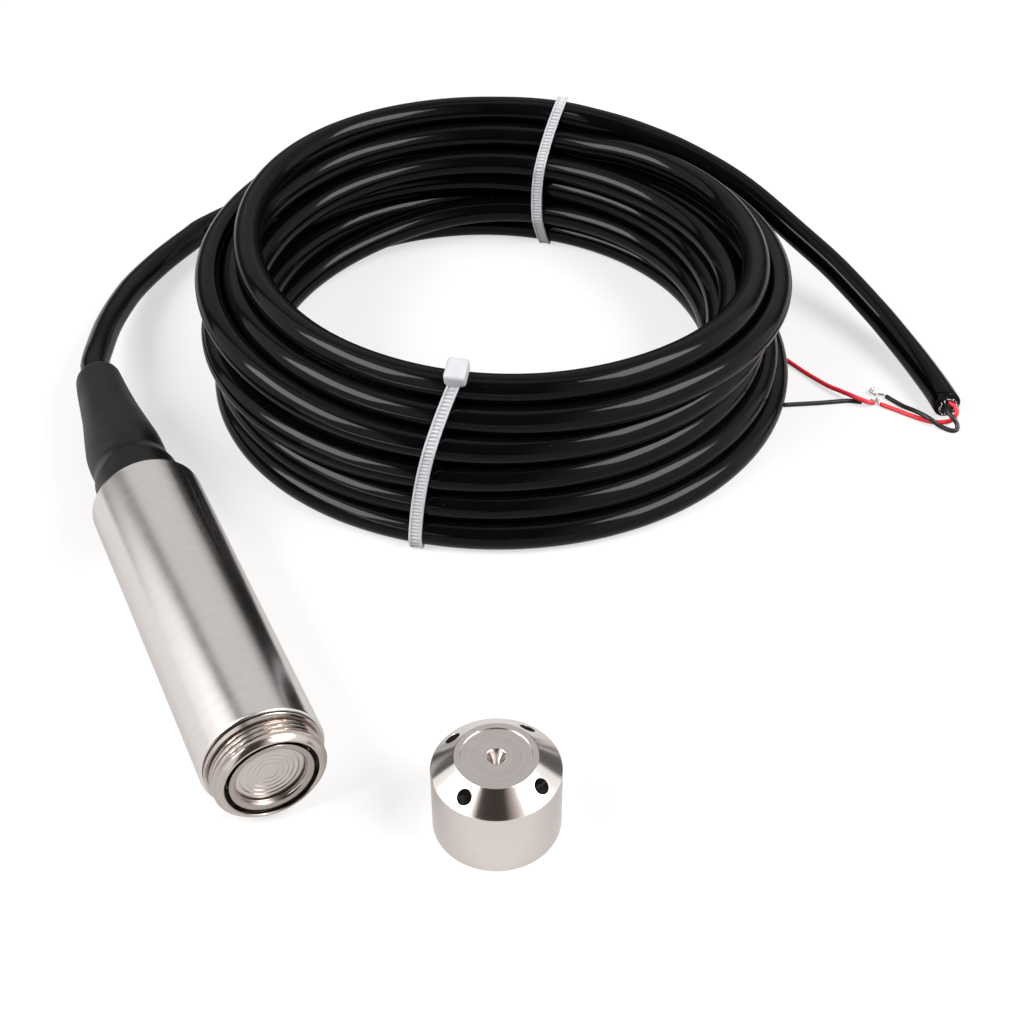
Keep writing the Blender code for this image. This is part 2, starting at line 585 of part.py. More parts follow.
def build_rear_closure():
    groove = PLUG_FRONT + PLUG_GROOVE_FROM_FRONT
    socket = PLUG_FRONT + PLUG_FRONT_WALL
    probe_turned("rear_plug", "steel",
                 [(SPIGOT_R, PLUG_REAR), (SPIGOT_R, groove + GROOVE_W),
                  (PLUG_GROOVE_R, groove + GROOVE_W), (PLUG_GROOVE_R, groove), (SPIGOT_R, groove),
                  (SPIGOT_R, PLUG_FRONT), (CABLE_BORE_R, PLUG_FRONT), (CABLE_BORE_R, socket),
                  (SOCKET_R, socket), (SOCKET_R, PLUG_REAR)])
    torus("rear_o_ring", PLUG_GROOVE_R + SEAL_SPACE / 2, groove + GROOVE_W / 2)
    probe_turned("gland_seal", "rubber",
                 [(SEAL_R, SEAL_REAR), (SEAL_R, SEAL_FRONT), (CABLE_BORE_R, SEAL_FRONT),
                  (CABLE_BORE_R, SEAL_REAR)])
    probe_turned("gland_washer", "bright_steel",
                 [(SEAL_R, WASHER_REAR), (SEAL_R, WASHER_FRONT), (CABLE_BORE_R, WASHER_FRONT),
                  (CABLE_BORE_R, WASHER_REAR)])
    probe_turned("gland_nut", "steel",
                 [(NUT_END_R, NUT_REAR), (NUT_HEAD_R, NUT_HEAD_REAR), (NUT_HEAD_R, NUT_HEAD_FRONT),
                  (SEAL_R, NUT_HEAD_FRONT), (SEAL_R, NUT_FRONT), (CABLE_BORE_R, NUT_FRONT),
                  (CABLE_BORE_R, NUT_REAR)])


def lean(along):
    """How far the boot and the cable in it lean to the side at a place along the probe."""
    share = max(0.0, (along - (BOOT_REAR - BOOT_LEAN_LENGTH)) / BOOT_LEAN_LENGTH)
    return BOOT_LEAN * share * share


def build_boot():
    outside = [(BOOT_END_R - BOOT_END_CHAMFER, BOOT_REAR),
               (BOOT_END_R, BOOT_REAR - BOOT_END_CHAMFER),
               (BOOT_TAPER_R, TUBE_REAR + BOOT_TAPER_AT),
               (BOOT_SHOULDER_R, TUBE_REAR + BOOT_SHOULDER_AT),
               (BOOT_BULGE_R, TUBE_REAR + BOOT_BULGE_AT),
               (BOOT_CREASE_R, TUBE_REAR + BOOT_CREASE_AT),
               (BOOT_NECK_R, TUBE_REAR + BOOT_NECK_END),
               (BOOT_NECK_R, BOOT_FRONT)]
    inside = [(NUT_HEAD_R + GAP, BOOT_FRONT), (NUT_HEAD_R + GAP, NUT_HEAD_REAR + GAP),
              (NUT_END_R + GAP, NUT_REAR + GAP), (CABLE_BORE_R, NUT_REAR + GAP + NUT_CONE_WALL),
              (CABLE_BORE_R, BOOT_REAR - BOOT_LEAN_LENGTH / 3), (CABLE_BORE_R, BOOT_REAR)]
    straight = probe_turned("straight_boot", "boot", outside + inside, 32)
    bpy.context.view_layer.update()
    solid = straight.evaluated_get(bpy.context.evaluated_depsgraph_get())
    mesh = bpy.data.meshes.new_from_object(solid)
    place = straight.matrix_world.copy()
    bpy.data.objects.remove(straight)
    mesh.transform(place)
    for vertex in mesh.vertices:
        vertex.co.x += lean(vertex.co.y - NOSE_Y)
    mesh.shade_smooth()
    link(bpy.data.objects.new("strain_relief_boot", mesh), "boot")
    route = []
    for station in range(13):
        along = CABLE_FRONT + (BOOT_REAR - CABLE_FRONT) * station / 12
        route.append(at(lean(along), along, 0))
    tube("inner_cable", "jacket", route, CABLE_R, 3)


def build_guard_cap():
    land = CAP_H - CAP_RECESS_DEPTH
    ceiling = CAP_H - CAP_ROOF_T
    bore = ROOT_R - CAP_BORE_STEP
    bore_top = ceiling - (bore - CAP_LAND_R) * CAP_CONE_H / (BODY_R - CAP_LAND_R)
    dimple = land - CAP_DIMPLE_DEPTH
    profile = [(0.0, dimple - CAP_PILOT_DEPTH), (CAP_PILOT_R, dimple - CAP_PILOT_DEPTH / 2),
               (CAP_PILOT_R, dimple), (CAP_DIMPLE_R, land), (CAP_RECESS_R, land),
               (CAP_RECESS_R, CAP_H), (CAP_LAND_R, CAP_H), (BODY_R, CAP_SIDE_H),
               (BODY_R, CAP_CHAMFER), (BODY_R - CAP_CHAMFER, 0.0),
               (CAP_GROOVE_R + CAP_CHAMFER / 2, 0.0)]
    ridges = thread_points(CAP_GROOVE_R, ROOT_R + THREAD_CLEARANCE,
                           CAP_THREAD_FROM_RIM, THREAD_PITCH)
    profile += ridges
    profile += [(CAP_GROOVE_R, ridges[-1][1] + THREAD_PITCH),
                (bore, ridges[-1][1] + THREAD_PITCH), (bore, bore_top), (CAP_LAND_R, ceiling),
                (0.0, ceiling)]
    cap = turned("guard_cap", "steel", profile, BODY_SIDES, closed=False)
    cap.location = (CAP_X, CAP_Y, 0.0)
    slope = Vector((CAP_CONE_H, 0.0, BODY_R - CAP_LAND_R)).normalized()
    middle = Vector(((BODY_R + CAP_LAND_R) / 2, 0.0, CAP_SIDE_H + CAP_CONE_H / 2))
    for number in range(CAP_HOLES):
        angle = math.radians(CAP_FIRST_HOLE_DEG + number * 360 / CAP_HOLES)
        around = Vector((math.cos(angle), math.sin(angle), 0.0))
        direction = around * slope.x + Vector((0, 0, slope.z))
        centre = Vector((CAP_X, CAP_Y, 0.0)) + around * middle.x + Vector((0, 0, middle.z))
        drill = rod(f"cap_drill_{number + 1}", None, CAP_HOLE_R, 2 * CAP_ROOF_T + CAP_CONE_H,
                    centre, direction, 16)
        combine(cap, drill)


def rounded_outline(low, high, corner, steps):
    """Corner-rounded rectangle as (x, y) points, counter-clockwise."""
    points = []
    quarters = ((high[0] - corner, high[1] - corner, 0), (low[0] + corner, high[1] - corner, 90),
                (low[0] + corner, low[1] + corner, 180), (high[0] - corner, low[1] + corner, 270))
    for centre_x, centre_y, start in quarters:
        for step in range(steps + 1):
            angle = math.radians(start + 90 * step / steps)
            points.append((centre_x + corner * math.cos(angle),
                           centre_y + corner * math.sin(angle)))
    return points


def build_coil():
    outline = rounded_outline((COIL_INNER_R, COIL_BOTTOM), (COIL_OUTER_R, COIL_TOP), COIL_CORNER, 2)
    coil = turned("cable_coil", "jacket", list(reversed(outline)), COIL_SIDES)
    coil.location = (COIL_X, COIL_Y, 0.0)


def build_tie(name, degrees, head_side):
    """A strap round the coil's section, with its head on the top corner at the given side."""
    curve = bpy.data.curves.new(name + "_strap", "CURVE")
    curve.dimensions = "2D"
    curve.fill_mode = "BOTH"
    curve.extrude = TIE_W / 2
    for grow in (GAP + TIE_T, GAP):
        outline = rounded_outline((COIL_INNER_R - grow, COIL_BOTTOM - grow),
                                  (COIL_OUTER_R + grow, COIL_TOP + grow), TIE_CORNER + grow, 3)
        spline = curve.splines.new("POLY")
        spline.points.add(len(outline) - 1)
        for knot, (x, y) in zip(spline.points, outline):
            knot.co = (x, y, 0.0, 1.0)
        spline.use_cyclic_u = True
    flat = bpy.data.objects.new(name + "_flat", curve)
    PIECES.objects.link(flat)
    flat.location = (COIL_X, COIL_Y, 0.0)
    flat.rotation_euler = (math.pi / 2, 0.0, math.radians(degrees))
    bpy.context.view_layer.update()
    mesh = bpy.data.meshes.new_from_object(
        flat.evaluated_get(bpy.context.evaluated_depsgraph_get()))
    mesh.name = name
    edit = bmesh.new()
    edit.from_mesh(mesh)
    bmesh.ops.remove_doubles(edit, verts=edit.verts, dist=0.00001)
    edit.to_mesh(mesh)
    edit.free()
    strap = bpy.data.objects.new(name, mesh)
    strap.matrix_world = flat.matrix_world.copy()
    bpy.data.objects.remove(flat)
    link(strap, "nylon")
    angle = math.radians(degrees)
    lean_in = math.radians(45) * head_side
    edge = (COIL_OUTER_R if head_side > 0 else COIL_INNER_R) - head_side * TIE_CORNER
    reach = TIE_CORNER + GAP + TIE_T + TIE_HEAD[2] / 2 - TIE_HEAD_SINK
    radius = edge + reach * math.sin(lean_in)
    height = COIL_TOP - TIE_CORNER + reach * math.cos(lean_in)
    head = box(name + "_head", None, TIE_HEAD,
               (COIL_X + radius * math.cos(angle), COIL_Y + radius * math.sin(angle), height),
               bevel=0.5 * MM)
    head.rotation_euler = (0.0, lean_in, angle)
    head.data.transform([[0, 1, 0, 0], [1, 0, 0, 0], [0, 0, 1, 0], [0, 0, 0, 1]])
    head.data.flip_normals()
    combine(strap, head, "UNION")


def build_cable():
    slope = 2 * BOOT_LEAN / BOOT_LEAN_LENGTH
    stub = [(EXIT_X + slope * reach, EXIT_Y + reach, AXIS_Z) for reach in (GAP, LEAD_STUB)]
    lead = [(EXIT_X + x * MM, EXIT_Y + y * MM, z * MM) for x, y, z in LEAD_ROUTE]
    route = [stub[0]] + smooth_route([stub[1]] + lead, 4.5 * CABLE_R)
    tube("cable_lead", "jacket", route, CABLE_R, 2)
    build_coil()
    from_coil = {}
    routes = {"cable_tail": TAIL_ROUTE, "red_wire": RED_ROUTE, "red_strands": RED_STRAND_ROUTE,
              "red_wire_tip": RED_TIP_ROUTE, "black_wire": BLACK_ROUTE,
              "black_strands": BLACK_STRAND_ROUTE, "black_wire_tip": BLACK_TIP_ROUTE}
    for name, route in routes.items():
        from_coil[name] = [(COIL_X + x * MM, COIL_Y + y * MM, z * MM) for x, y, z in route]
    tube("cable_tail", "jacket", smooth_route(from_coil["cable_tail"], 4.5 * CABLE_R), CABLE_R, 2)
    wires = (("red_wire", "red", WIRE_R), ("red_strands", "copper", STRANDS_R),
             ("red_wire_tip", "red", WIRE_R), ("black_wire", "black", WIRE_R),
             ("black_strands", "copper", STRANDS_R), ("black_wire_tip", "black", WIRE_R))
    for name, finish, radius in wires:
        tube(name, finish, smooth_route(from_coil[name], 4.5 * WIRE_R), radius, 2)
    cut_end = Vector(from_coil["cable_tail"][-1])
    heading = (cut_end - Vector(from_coil["cable_tail"][-2])).normalized()
    braid = turned("shield_braid", "copper",
                   [(BRAID_R, BRAID_LENGTH), (BRAID_R, 0.0), (BRAID_BORE_R, 0.0),
                    (BRAID_BORE_R, BRAID_LENGTH)], SMALL_SIDES)
    braid.location = cut_end + heading * GAP
    braid.rotation_euler = heading.to_track_quat("Z", "Y").to_euler()
    build_tie("front_tie", FRONT_TIE_DEG, -1)
    build_tie("rear_tie", REAR_TIE_DEG, 1)


def build():
    build_housing_tube()
    build_sensor_holder()
    build_sensor()
    build_electronics()
    build_rear_closure()
    build_boot()
    build_guard_cap()
    build_cable()


clear_scene()
PIECES = new_collection("submersible_level_transmitter")
CUTTERS = new_collection("cutters")
PROBE_AXIS = bpy.data.objects.new("probe_axis", None)
PROBE_AXIS.location = (PROBE_X, NOSE_Y, AXIS_Z)
PROBE_AXIS.rotation_euler = (-math.pi / 2, 0.0, 0.0)
PIECES.objects.link(PROBE_AXIS)
build()
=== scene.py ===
"""Looks of the submersible level transmitter: a stainless probe, its guard cap and its coiled cable."""
import math
import random

import bmesh
import bpy
import numpy as np
from mathutils import Matrix, Vector


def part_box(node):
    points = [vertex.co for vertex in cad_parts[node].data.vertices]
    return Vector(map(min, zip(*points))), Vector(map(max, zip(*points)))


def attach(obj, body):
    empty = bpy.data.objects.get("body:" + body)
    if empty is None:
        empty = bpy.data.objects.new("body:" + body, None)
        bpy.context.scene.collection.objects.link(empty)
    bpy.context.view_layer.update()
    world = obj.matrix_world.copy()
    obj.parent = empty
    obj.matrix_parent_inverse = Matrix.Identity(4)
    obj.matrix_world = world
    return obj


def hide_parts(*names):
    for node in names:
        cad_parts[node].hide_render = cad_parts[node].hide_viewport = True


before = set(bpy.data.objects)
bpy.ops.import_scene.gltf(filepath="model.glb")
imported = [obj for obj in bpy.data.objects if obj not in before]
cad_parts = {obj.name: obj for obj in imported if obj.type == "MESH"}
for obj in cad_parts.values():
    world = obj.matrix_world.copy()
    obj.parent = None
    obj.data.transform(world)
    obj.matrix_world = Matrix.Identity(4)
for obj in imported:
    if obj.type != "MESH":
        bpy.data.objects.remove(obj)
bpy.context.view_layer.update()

bl_info = {
    "name": "Submersible level transmitter",
    "version": (1, 0, 0),
    "blender": (4, 5, 0),
    "location": "3D View > Sidebar > Level probe",
    "description": "Dresses the packed level transmitter: cable, ties, cores, probe, cap and stage",
    "category": "Object",
}

MM = 0.001
TUBE_LOW, TUBE_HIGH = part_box("housing_tube")
CAP_LOW, CAP_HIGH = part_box("guard_cap")
BOOT_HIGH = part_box("strain_relief_boot")[1]
HOLDER_LOW, HOLDER_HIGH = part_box("sensor_holder")

# Probe, in metres: the axis runs along Y, and places along it are measured from the nose face
PROBE_X = (TUBE_LOW[0] + TUBE_HIGH[0]) / 2
AXIS_Z = (TUBE_LOW[2] + TUBE_HIGH[2]) / 2
NOSE_Y = HOLDER_LOW[1]
TUBE_FRONT = TUBE_LOW[1] - NOSE_Y
TUBE_REAR = TUBE_HIGH[1] - NOSE_Y
BODY_R = (TUBE_HIGH[0] - TUBE_LOW[0]) / 2
BOOT_REAR = BOOT_HIGH[1] - NOSE_Y
HOLDER_REAR = HOLDER_HIGH[1] - NOSE_Y
CAP_X = (CAP_LOW[0] + CAP_HIGH[0]) / 2
CAP_Y = (CAP_LOW[1] + CAP_HIGH[1]) / 2
NOSE_CENTRE = (PROBE_X, NOSE_Y, AXIS_Z)
CAP_CENTRE = (CAP_X, CAP_Y, 0.0)
CAP_THREAD_R = 12.9 * MM
HOLE_ANGLE = 30.1
CAP_SHADE_R = 12.5 * MM          # the floor inside it doesn't glow
CONE_SLOPE = math.atan2(4.1, 14.0 - 8.9)
HOLE_R, HOLE_HEIGHT = 11.45 * MM, 18.85 * MM       # middle of a water hole on the cone
ALONG_PROBE = (0.0, 1.0, 0.0)
UPRIGHT = (0.0, 0.0, 1.0)
FOOT = (0.22, 0.0, -0.976)       # from the nose's middle towards the foot of its ring gap, which is lit, so the painted shade fades there
# Colour of the painted shade in the nose's narrow ring gap
PAINTED_GAP_SHADE = (0.05, 0.045, 0.04)
SPIN_STEPS = 144
CORNER_STEPS = 3
FLAT_HOLD = 0.3 * MM             # how far from a rounded corner a row holds the flat's shading

# Stage: the camera stands where the photographer stood, and the lamps are placed as seen from it
VIEW_TURN = math.radians(24.91)
VIEW_TILT = math.radians(49.017)
CAMERA_PLACE = (-0.06996, -0.28695, 0.283025)
AIM = (0.06, 0.03, 0.02)
PAST_LEFT = (0.424, 0.847, -0.320)      # positive beyond the left wall's far edge
PAST_RIGHT = (-0.545, 0.838, 0.0)       # positive beyond the right wall's far edge
SOFTBOXES = {"left_softbox": ((-0.84, -0.26, 0.76), (0.85, 0.56)),
             "right_softbox": ((0.80, -0.22, 0.80), (0.80, 0.56))}
FLOOR_GLOW = 0.62

# Cable, in mm: the lead is measured from the boot's end and the rest from the coil's middle
EXIT = (-19.55, 96.15)
COIL_MIDDLE = (90.55, 69.65)
LEAD_ROUTE = [
    (0.02, 0.3, 14.0), (0.19, 2.4, 14.0), (1.5, 6.6, 13.6), (3.7, 12.4, 12.7), (9.6, 27.0, 10.0),
    (16.6, 40.2, 7.8), (23.8, 51.0, 6.2), (35.3, 63.5, 4.7), (47.6, 73.5, 4.05),
    (53.5, 77.5, 3.95), (70.3, 83.4, 3.95), (90.6, 84.8, 3.95), (110.1, 80.4, 3.95),
    (127.3, 71.4, 3.95), (141.4, 60.2, 3.95)]
TAIL_ROUTE = [
    (84.3, 33.6, 31.4), (91.1, 25.5, 27.6), (96.6, 16.6, 23.5), (102.7, 2.5, 17.5),
    (107.3, -13.1, 12.7), (109.6, -32.2, 8.1), (109.7, -43.4, 6.1), (109.0, -54.8, 4.7),
    (107.1, -67.3, 4.0), (105.2, -75.1, 3.95)]

# The coil's turns as (radius, height) at eight stations a turn, clockwise from the back, in mm
BACK_ANGLE = 65.1
STATIONS = 8
SAMPLES_A_STATION = 6
SAMPLES_A_TURN = STATIONS * SAMPLES_A_STATION
TURNS = [
    [(87.4, 3.95), (80.8, 3.9), (80.5, 3.9), (79.3, 3.9), (78.0, 3.9), (78.3, 3.9), (77.0, 3.9),
     (76.6, 3.9)],
    [(75.0, 3.9), (68.6, 3.9), (64.0, 3.9), (67.0, 3.9), (70.2, 4.2), (70.5, 3.9), (69.0, 3.9),
     (70.0, 8.0)],
    [(72.5, 12.8), (66.0, 11.7), (61.5, 11.5), (64.5, 11.7), (68.1, 12.5), (69.5, 12.0),
     (69.0, 12.0), (74.2, 12.6)],
    [(80.0, 11.5), (77.6, 11.5), (76.8, 11.2), (76.6, 11.3), (75.7, 11.3), (76.8, 11.3),
     (76.6, 11.2), (81.6, 14.0)],
    [(82.3, 19.3), (77.0, 18.6), (73.5, 17.8), (74.6, 18.6), (73.4, 18.7), (76.6, 18.8),
     (80.4, 17.6), (77.4, 20.8)],
    [(74.5, 20.2), (68.0, 19.5), (62.5, 20.0), (64.3, 19.8), (66.0, 19.8), (68.6, 20.4),
     (71.6, 23.6), (72.8, 26.8)],
    [(73.0, 27.8), (66.0, 27.5), (67.5, 28.6), (65.4, 28.0), (63.8, 27.6), (69.8, 27.4),
     (81.5, 25.3), (82.8, 27.4)],
    [(81.5, 27.0), (73.6, 26.6), (76.2, 23.4), (73.2, 25.6), (71.1, 26.2), (74.4, 30.2),
     (79.5, 33.4), (83.4, 34.8)],
    [(84.0, 34.2), (80.0, 30.0), (79.9, 29.6), (73.0, 32.6), (68.8, 33.6), (69.0, 35.2),
     (72.4, 36.2), (75.4, 36.0)],
    [(76.4, 34.8), (75.2, 36.4), (73.2, 36.2), (69.2, 39.6), (66.5, 41.0), (63.4, 41.2),
     (67.5, 41.2), (79.0, 43.2)]]
COIL_START = [(87.4, 3.95), (84.0, 3.95), (82.2, 3.95), (81.4, 3.95), (81.0, 3.95)]
COIL_END = [(80.4, 41.3), (79.8, 41.6), (79.3, 41.6), (79.1, 41.0), (82.4, 38.5), (87.3, 34.6)]
SETTLE_STEPS = 300
SETTLE_PULL = 0.03
SETTLE_SMOOTH = 0.12
SETTLE_PUSH = 0.9

# Cores at the cut end, in mm from the coil's middle
RED_ROUTE = [
    (105.0, -72.5, 4.6), (106.0, -75.8, 4.6), (106.5, -77.3, 4.2), (106.0, -78.6, 2.8),
    (104.0, -78.8, 1.2), (100.4, -77.0, 0.65), (97.9, -74.4, 0.6), (95.7, -71.0, 0.6),
    (93.6, -67.4, 0.6), (91.3, -63.5, 0.6)]
RED_TIP_ROUTE = [
    (89.7, -62.6, 0.9), (88.0, -62.2, 1.5), (86.6, -61.1, 1.95), (85.5, -59.4, 2.05),
    (84.6, -57.2, 1.95), (83.4, -54.0, 1.6), (82.0, -50.2, 1.25), (80.1, -42.1, 0.8),
    (78.4, -33.4, 0.7)]
BLACK_ROUTE = [
    (105.2, -72.6, 3.3), (104.2, -75.5, 3.5), (103.7, -77.4, 3.6), (103.9, -79.6, 3.1),
    (104.4, -81.3, 1.9), (103.7, -82.5, 0.8), (102.1, -81.9, 0.65), (100.3, -79.2, 1.0),
    (98.5, -76.2, 2.2), (97.2, -71.8, 2.0), (96.3, -67.0, 0.9), (94.9, -61.1, 0.6)]
BLACK_TIP_ROUTE = [
    (87.1, -60.5, 0.6), (84.8, -58.9, 0.6), (83.0, -58.0, 0.6), (75.2, -55.5, 0.6),
    (66.0, -52.2, 0.6)]
RED_STRAND_ROUTES = [
    [(91.5, -63.9, 0.6), (91.05, -62.9, 0.6), (91.0, -62.0, 0.6), (91.6, -61.1, 0.6)],
    [(91.5, -63.9, 0.7), (90.9, -62.8, 0.9), (90.2, -61.6, 1.1), (89.9, -60.5, 0.8)],
    [(91.5, -63.9, 0.5), (91.2, -62.7, 0.4), (91.7, -61.6, 0.4), (92.6, -60.9, 0.4)]]
BLACK_STRAND_ROUTES = [
    [(95.2, -61.6, 0.6), (94.7, -60.5, 0.6), (93.3, -59.7, 0.6), (92.3, -59.3, 0.6),
     (92.1, -58.3, 0.6), (93.3, -57.2, 0.6), (95.1, -57.3, 0.6)],
    [(95.2, -61.6, 0.8), (94.5, -60.3, 0.9), (93.0, -59.4, 0.9), (91.9, -58.9, 0.8),
     (91.8, -57.9, 0.7), (92.9, -56.9, 0.7), (94.4, -56.6, 0.6)]]
WIRE_R = 0.66
STRAND_R = 0.13
BRAID_R = 2.7
BRAID_WIRES = 46
BRAID_WIRE_R = 0.085

# Cable ties, in mm
TIE_ANGLES = {"front_tie": -127.0, "rear_tie": 52.5}
TIE_SLANTS = {"front_tie": 0.184, "rear_tie": -0.057}     # sideways for each mm of height
TIE_SHIFTS = {"front_tie": 1.45, "rear_tie": -1.45}
TIE_BOWS = {"front_tie": -2.35, "rear_tie": 3.2}          # sideways at half the coil's height
TIE_MIDDLE = 23.0
TIE_WIDTH = 3.3
TIE_THICKNESS = 1.15
TIE_RIM = 0.5
TIE_RIB_PITCH = 1.0
TIE_CHAMFER = 0.12
TIE_RIB_HEIGHTS = (0.6, 0.86)    # trough and rib, as shares of the thickness
TIE_PLAY = 0.1                   # between the strap and the turns it holds
TIE_LOWEST = 0.35                # lowest place of the strap's inner face, under the coil
TIE_OFF_FLOOR = 0.02
TIE_HEAD = (5.6, 6.6, 4.0)
TIE_HEAD_SUNK = 0.3

# Boot, in mm: outside radius at places behind the tube's end
BOOT_LINE = [
    (10.8, -3.9), (10.8, 0.0), (10.8, 3.0), (10.8, 6.0), (10.79, 8.6), (10.62, 9.8),
    (10.25, 11.2), (9.92, 12.6), (9.83, 13.4), (9.86, 14.6), (9.97, 16.4), (10.0, 18.0),
    (9.96, 20.0), (9.82, 22.4), (9.58, 24.2), (9.2, 27.0), (8.6, 31.5), (7.95, 36.6),
    (7.5, 41.0), (7.05, 46.0), (6.6, 51.0), (6.3, 54.2), (6.15, 55.5), (5.95, 56.1), (5.6, 56.3)]
BOOT_BORE = 4.2
BOOT_LEAN, BOOT_LEAN_LENGTH = 2.0, 50.0


class CableSettings(bpy.types.PropertyGroup):
    """Sizes and colour of the cable"""
    diameter: bpy.props.FloatProperty(
        name="Diameter", description="Outside diameter of the jacket",
        default=7.8 * MM, unit="LENGTH")
    sides: bpy.props.IntProperty(
        name="Sides", description="Facets round the jacket", default=24, min=12, max=48)
    spacing: bpy.props.FloatProperty(
        name="Spacing", description="Length of one facet along the cable",
        default=2.6 * MM, unit="LENGTH")
    colour: bpy.props.FloatVectorProperty(
        name="Jacket colour", description="Colour of the black jacket",
        default=(0.0015, 0.0014, 0.0019), subtype="COLOR")
    gloss: bpy.props.FloatProperty(
        name="Jacket roughness", description="Roughness of the jacket", default=0.11,
        subtype="FACTOR")


class SteelSettings(bpy.types.PropertyGroup):
    """Finish of the turned stainless pieces"""
    colour: bpy.props.FloatVectorProperty(
        name="Steel colour", description="Colour of the bare stainless steel",
        default=(0.85, 0.815, 0.79), subtype="COLOR")
    roughness: bpy.props.FloatProperty(
        name="Satin roughness", description="Roughness of the satin turned faces",
        default=0.2, subtype="FACTOR")
    mark_spacing: bpy.props.FloatProperty(
        name="Mark spacing", description="Distance between the tool's turning marks",
        default=0.22 * MM, unit="LENGTH")


class TrimSettings(bpy.types.PropertyGroup):
    """Colours of the boot, the cores and the ties"""
    boot_colour: bpy.props.FloatVectorProperty(
        name="Boot colour", description="Colour of the shrunk sleeve",
        default=(0.006, 0.006, 0.0067), subtype="COLOR")
    red: bpy.props.FloatVectorProperty(
        name="Red core", description="Colour of the red insulation",
        default=(0.92, 0.03, 0.045), subtype="COLOR")
    nylon: bpy.props.FloatVectorProperty(
        name="Tie colour", description="Colour of the natural nylon ties",
        default=(0.60, 0.62, 0.66), subtype="COLOR")


class StageSettings(bpy.types.PropertyGroup):
    """Light and view of the stage"""
    lens: bpy.props.FloatProperty(
        name="Lens", description="Focal length of the camera in millimetres", default=57.5)
    key: bpy.props.FloatProperty(
        name="Softbox power", description="Power of a softbox for each square metre of it",
        default=33.0, unit="POWER")
    world: bpy.props.FloatProperty(
        name="World strength", description="Strength of the even light from the walls",
        default=0.25)
    dark_side: bpy.props.FloatProperty(
        name="Dark side", description="What polished faces reflect on the camera's side",
        default=0.05)
    bright_side: bpy.props.FloatProperty(
        name="Bright sides", description="What polished faces reflect on the left and the right",
        default=1.04)
    pale_side: bpy.props.FloatProperty(
        name="Pale side", description="What polished faces reflect on the far side",
        default=0.65)
    tint: bpy.props.FloatVectorProperty(
        name="Light colour", description="Colour of the softboxes",
        default=(1.0, 0.955, 0.93), subtype="COLOR")


# ---------------------------------------------------------------- helpers for nodes

def add(tree, kind, inputs=None, **settings):
    """Add a shader node; an input given as a socket is linked, and any other is set."""
    made = tree.nodes.new("ShaderNode" + kind)
    for name, value in settings.items():
        setattr(made, name, value)
    for name, value in (inputs or {}).items():
        if isinstance(value, bpy.types.NodeSocket):
            tree.links.new(value, made.inputs[name])
        else:
            made.inputs[name].default_value = value
    return made


def calc(tree, operation, first, second):
    """One Math node's result."""
    return add(tree, "Math", {0: first, 1: second}, operation=operation).outputs[0]


def times(tree, first, second):
    """The product of two values."""
    return calc(tree, "MULTIPLY", first, second)


def plus(tree, first, second):
    """The sum of two values."""
    return calc(tree, "ADD", first, second)


def most(tree, first, second):
    """The greater of two values."""
    return calc(tree, "MAXIMUM", first, second)


def mix(tree, share, first, second):
    """A value between two others."""
    return add(tree, "Mix", {0: share, 2: first, 3: second}, data_type="FLOAT").outputs[0]


def dot(tree, value, direction):
    """How far a vector points along a direction."""
    return add(tree, "VectorMath", {0: value, 1: direction},
               operation="DOT_PRODUCT").outputs["Value"]


def mirrored_rays(tree, path):
    """One for the rays that show in a reflection or through a clear piece."""
    return most(tree, path.outputs["Is Glossy Ray"], path.outputs["Is Transmission Ray"])


def toned(colour, share):
    """A colour made darker or lighter."""
    return tuple(min(1.0, share * part) for part in colour)


def span(tree, value, low, high, to_low=0.0, to_high=1.0):
    """A value mapped from one range to another, held inside it."""
    return add(tree, "MapRange", {"Value": value, "From Min": low, "From Max": high,
                                  "To Min": to_low, "To Max": to_high}).outputs["Result"]


def blend_colours(tree, share, first, second):
    """Mix two colours by a share."""
    made = add(tree, "Mix", data_type="RGBA")
    for index, value in ((0, share), (6, first), (7, second)):
        if isinstance(value, bpy.types.NodeSocket):
            tree.links.new(value, made.inputs[index])
        elif index == 0:
            made.inputs[index].default_value = value
        else:
            made.inputs[index].default_value = (*value[:3], 1.0)
    return made.outputs[2]


def noise(tree, place, size, detail=3.0, rough=0.5):
    """Noise with features of about the given size in metres."""
    return add(tree, "TexNoise", {"Vector": place, "Scale": 1.0 / size, "Detail": detail,
                                  "Roughness": rough}).outputs["Fac"]


def bump(tree, height, distance, before=None, strength=1.0):
    """A bump whose full height is the given distance in metres."""
    inputs = {"Height": height, "Distance": distance, "Strength": strength}
    if before is not None:
        inputs["Normal"] = before
    return add(tree, "Bump", inputs).outputs["Normal"]


def new_material(name, colour, roughness=0.5, metallic=0.0):
    """A material with plain values on its shader; returns the tree and the shader too."""
    material = bpy.data.materials.new(name)
    material.use_nodes = True
    tree = material.node_tree
    shader = tree.nodes["Principled BSDF"]
    shader.inputs["Base Color"].default_value = (*colour, 1.0)
    shader.inputs["Roughness"].default_value = roughness
    shader.inputs["Metallic"].default_value = metallic
    return material, tree, shader


def drive(tree, shader, name, value):
    """Link a value to one of the shader's inputs."""
    tree.links.new(value, shader.inputs[name])


def object_place(tree):
    """Object coordinates."""
    return add(tree, "TexCoord").outputs["Object"]


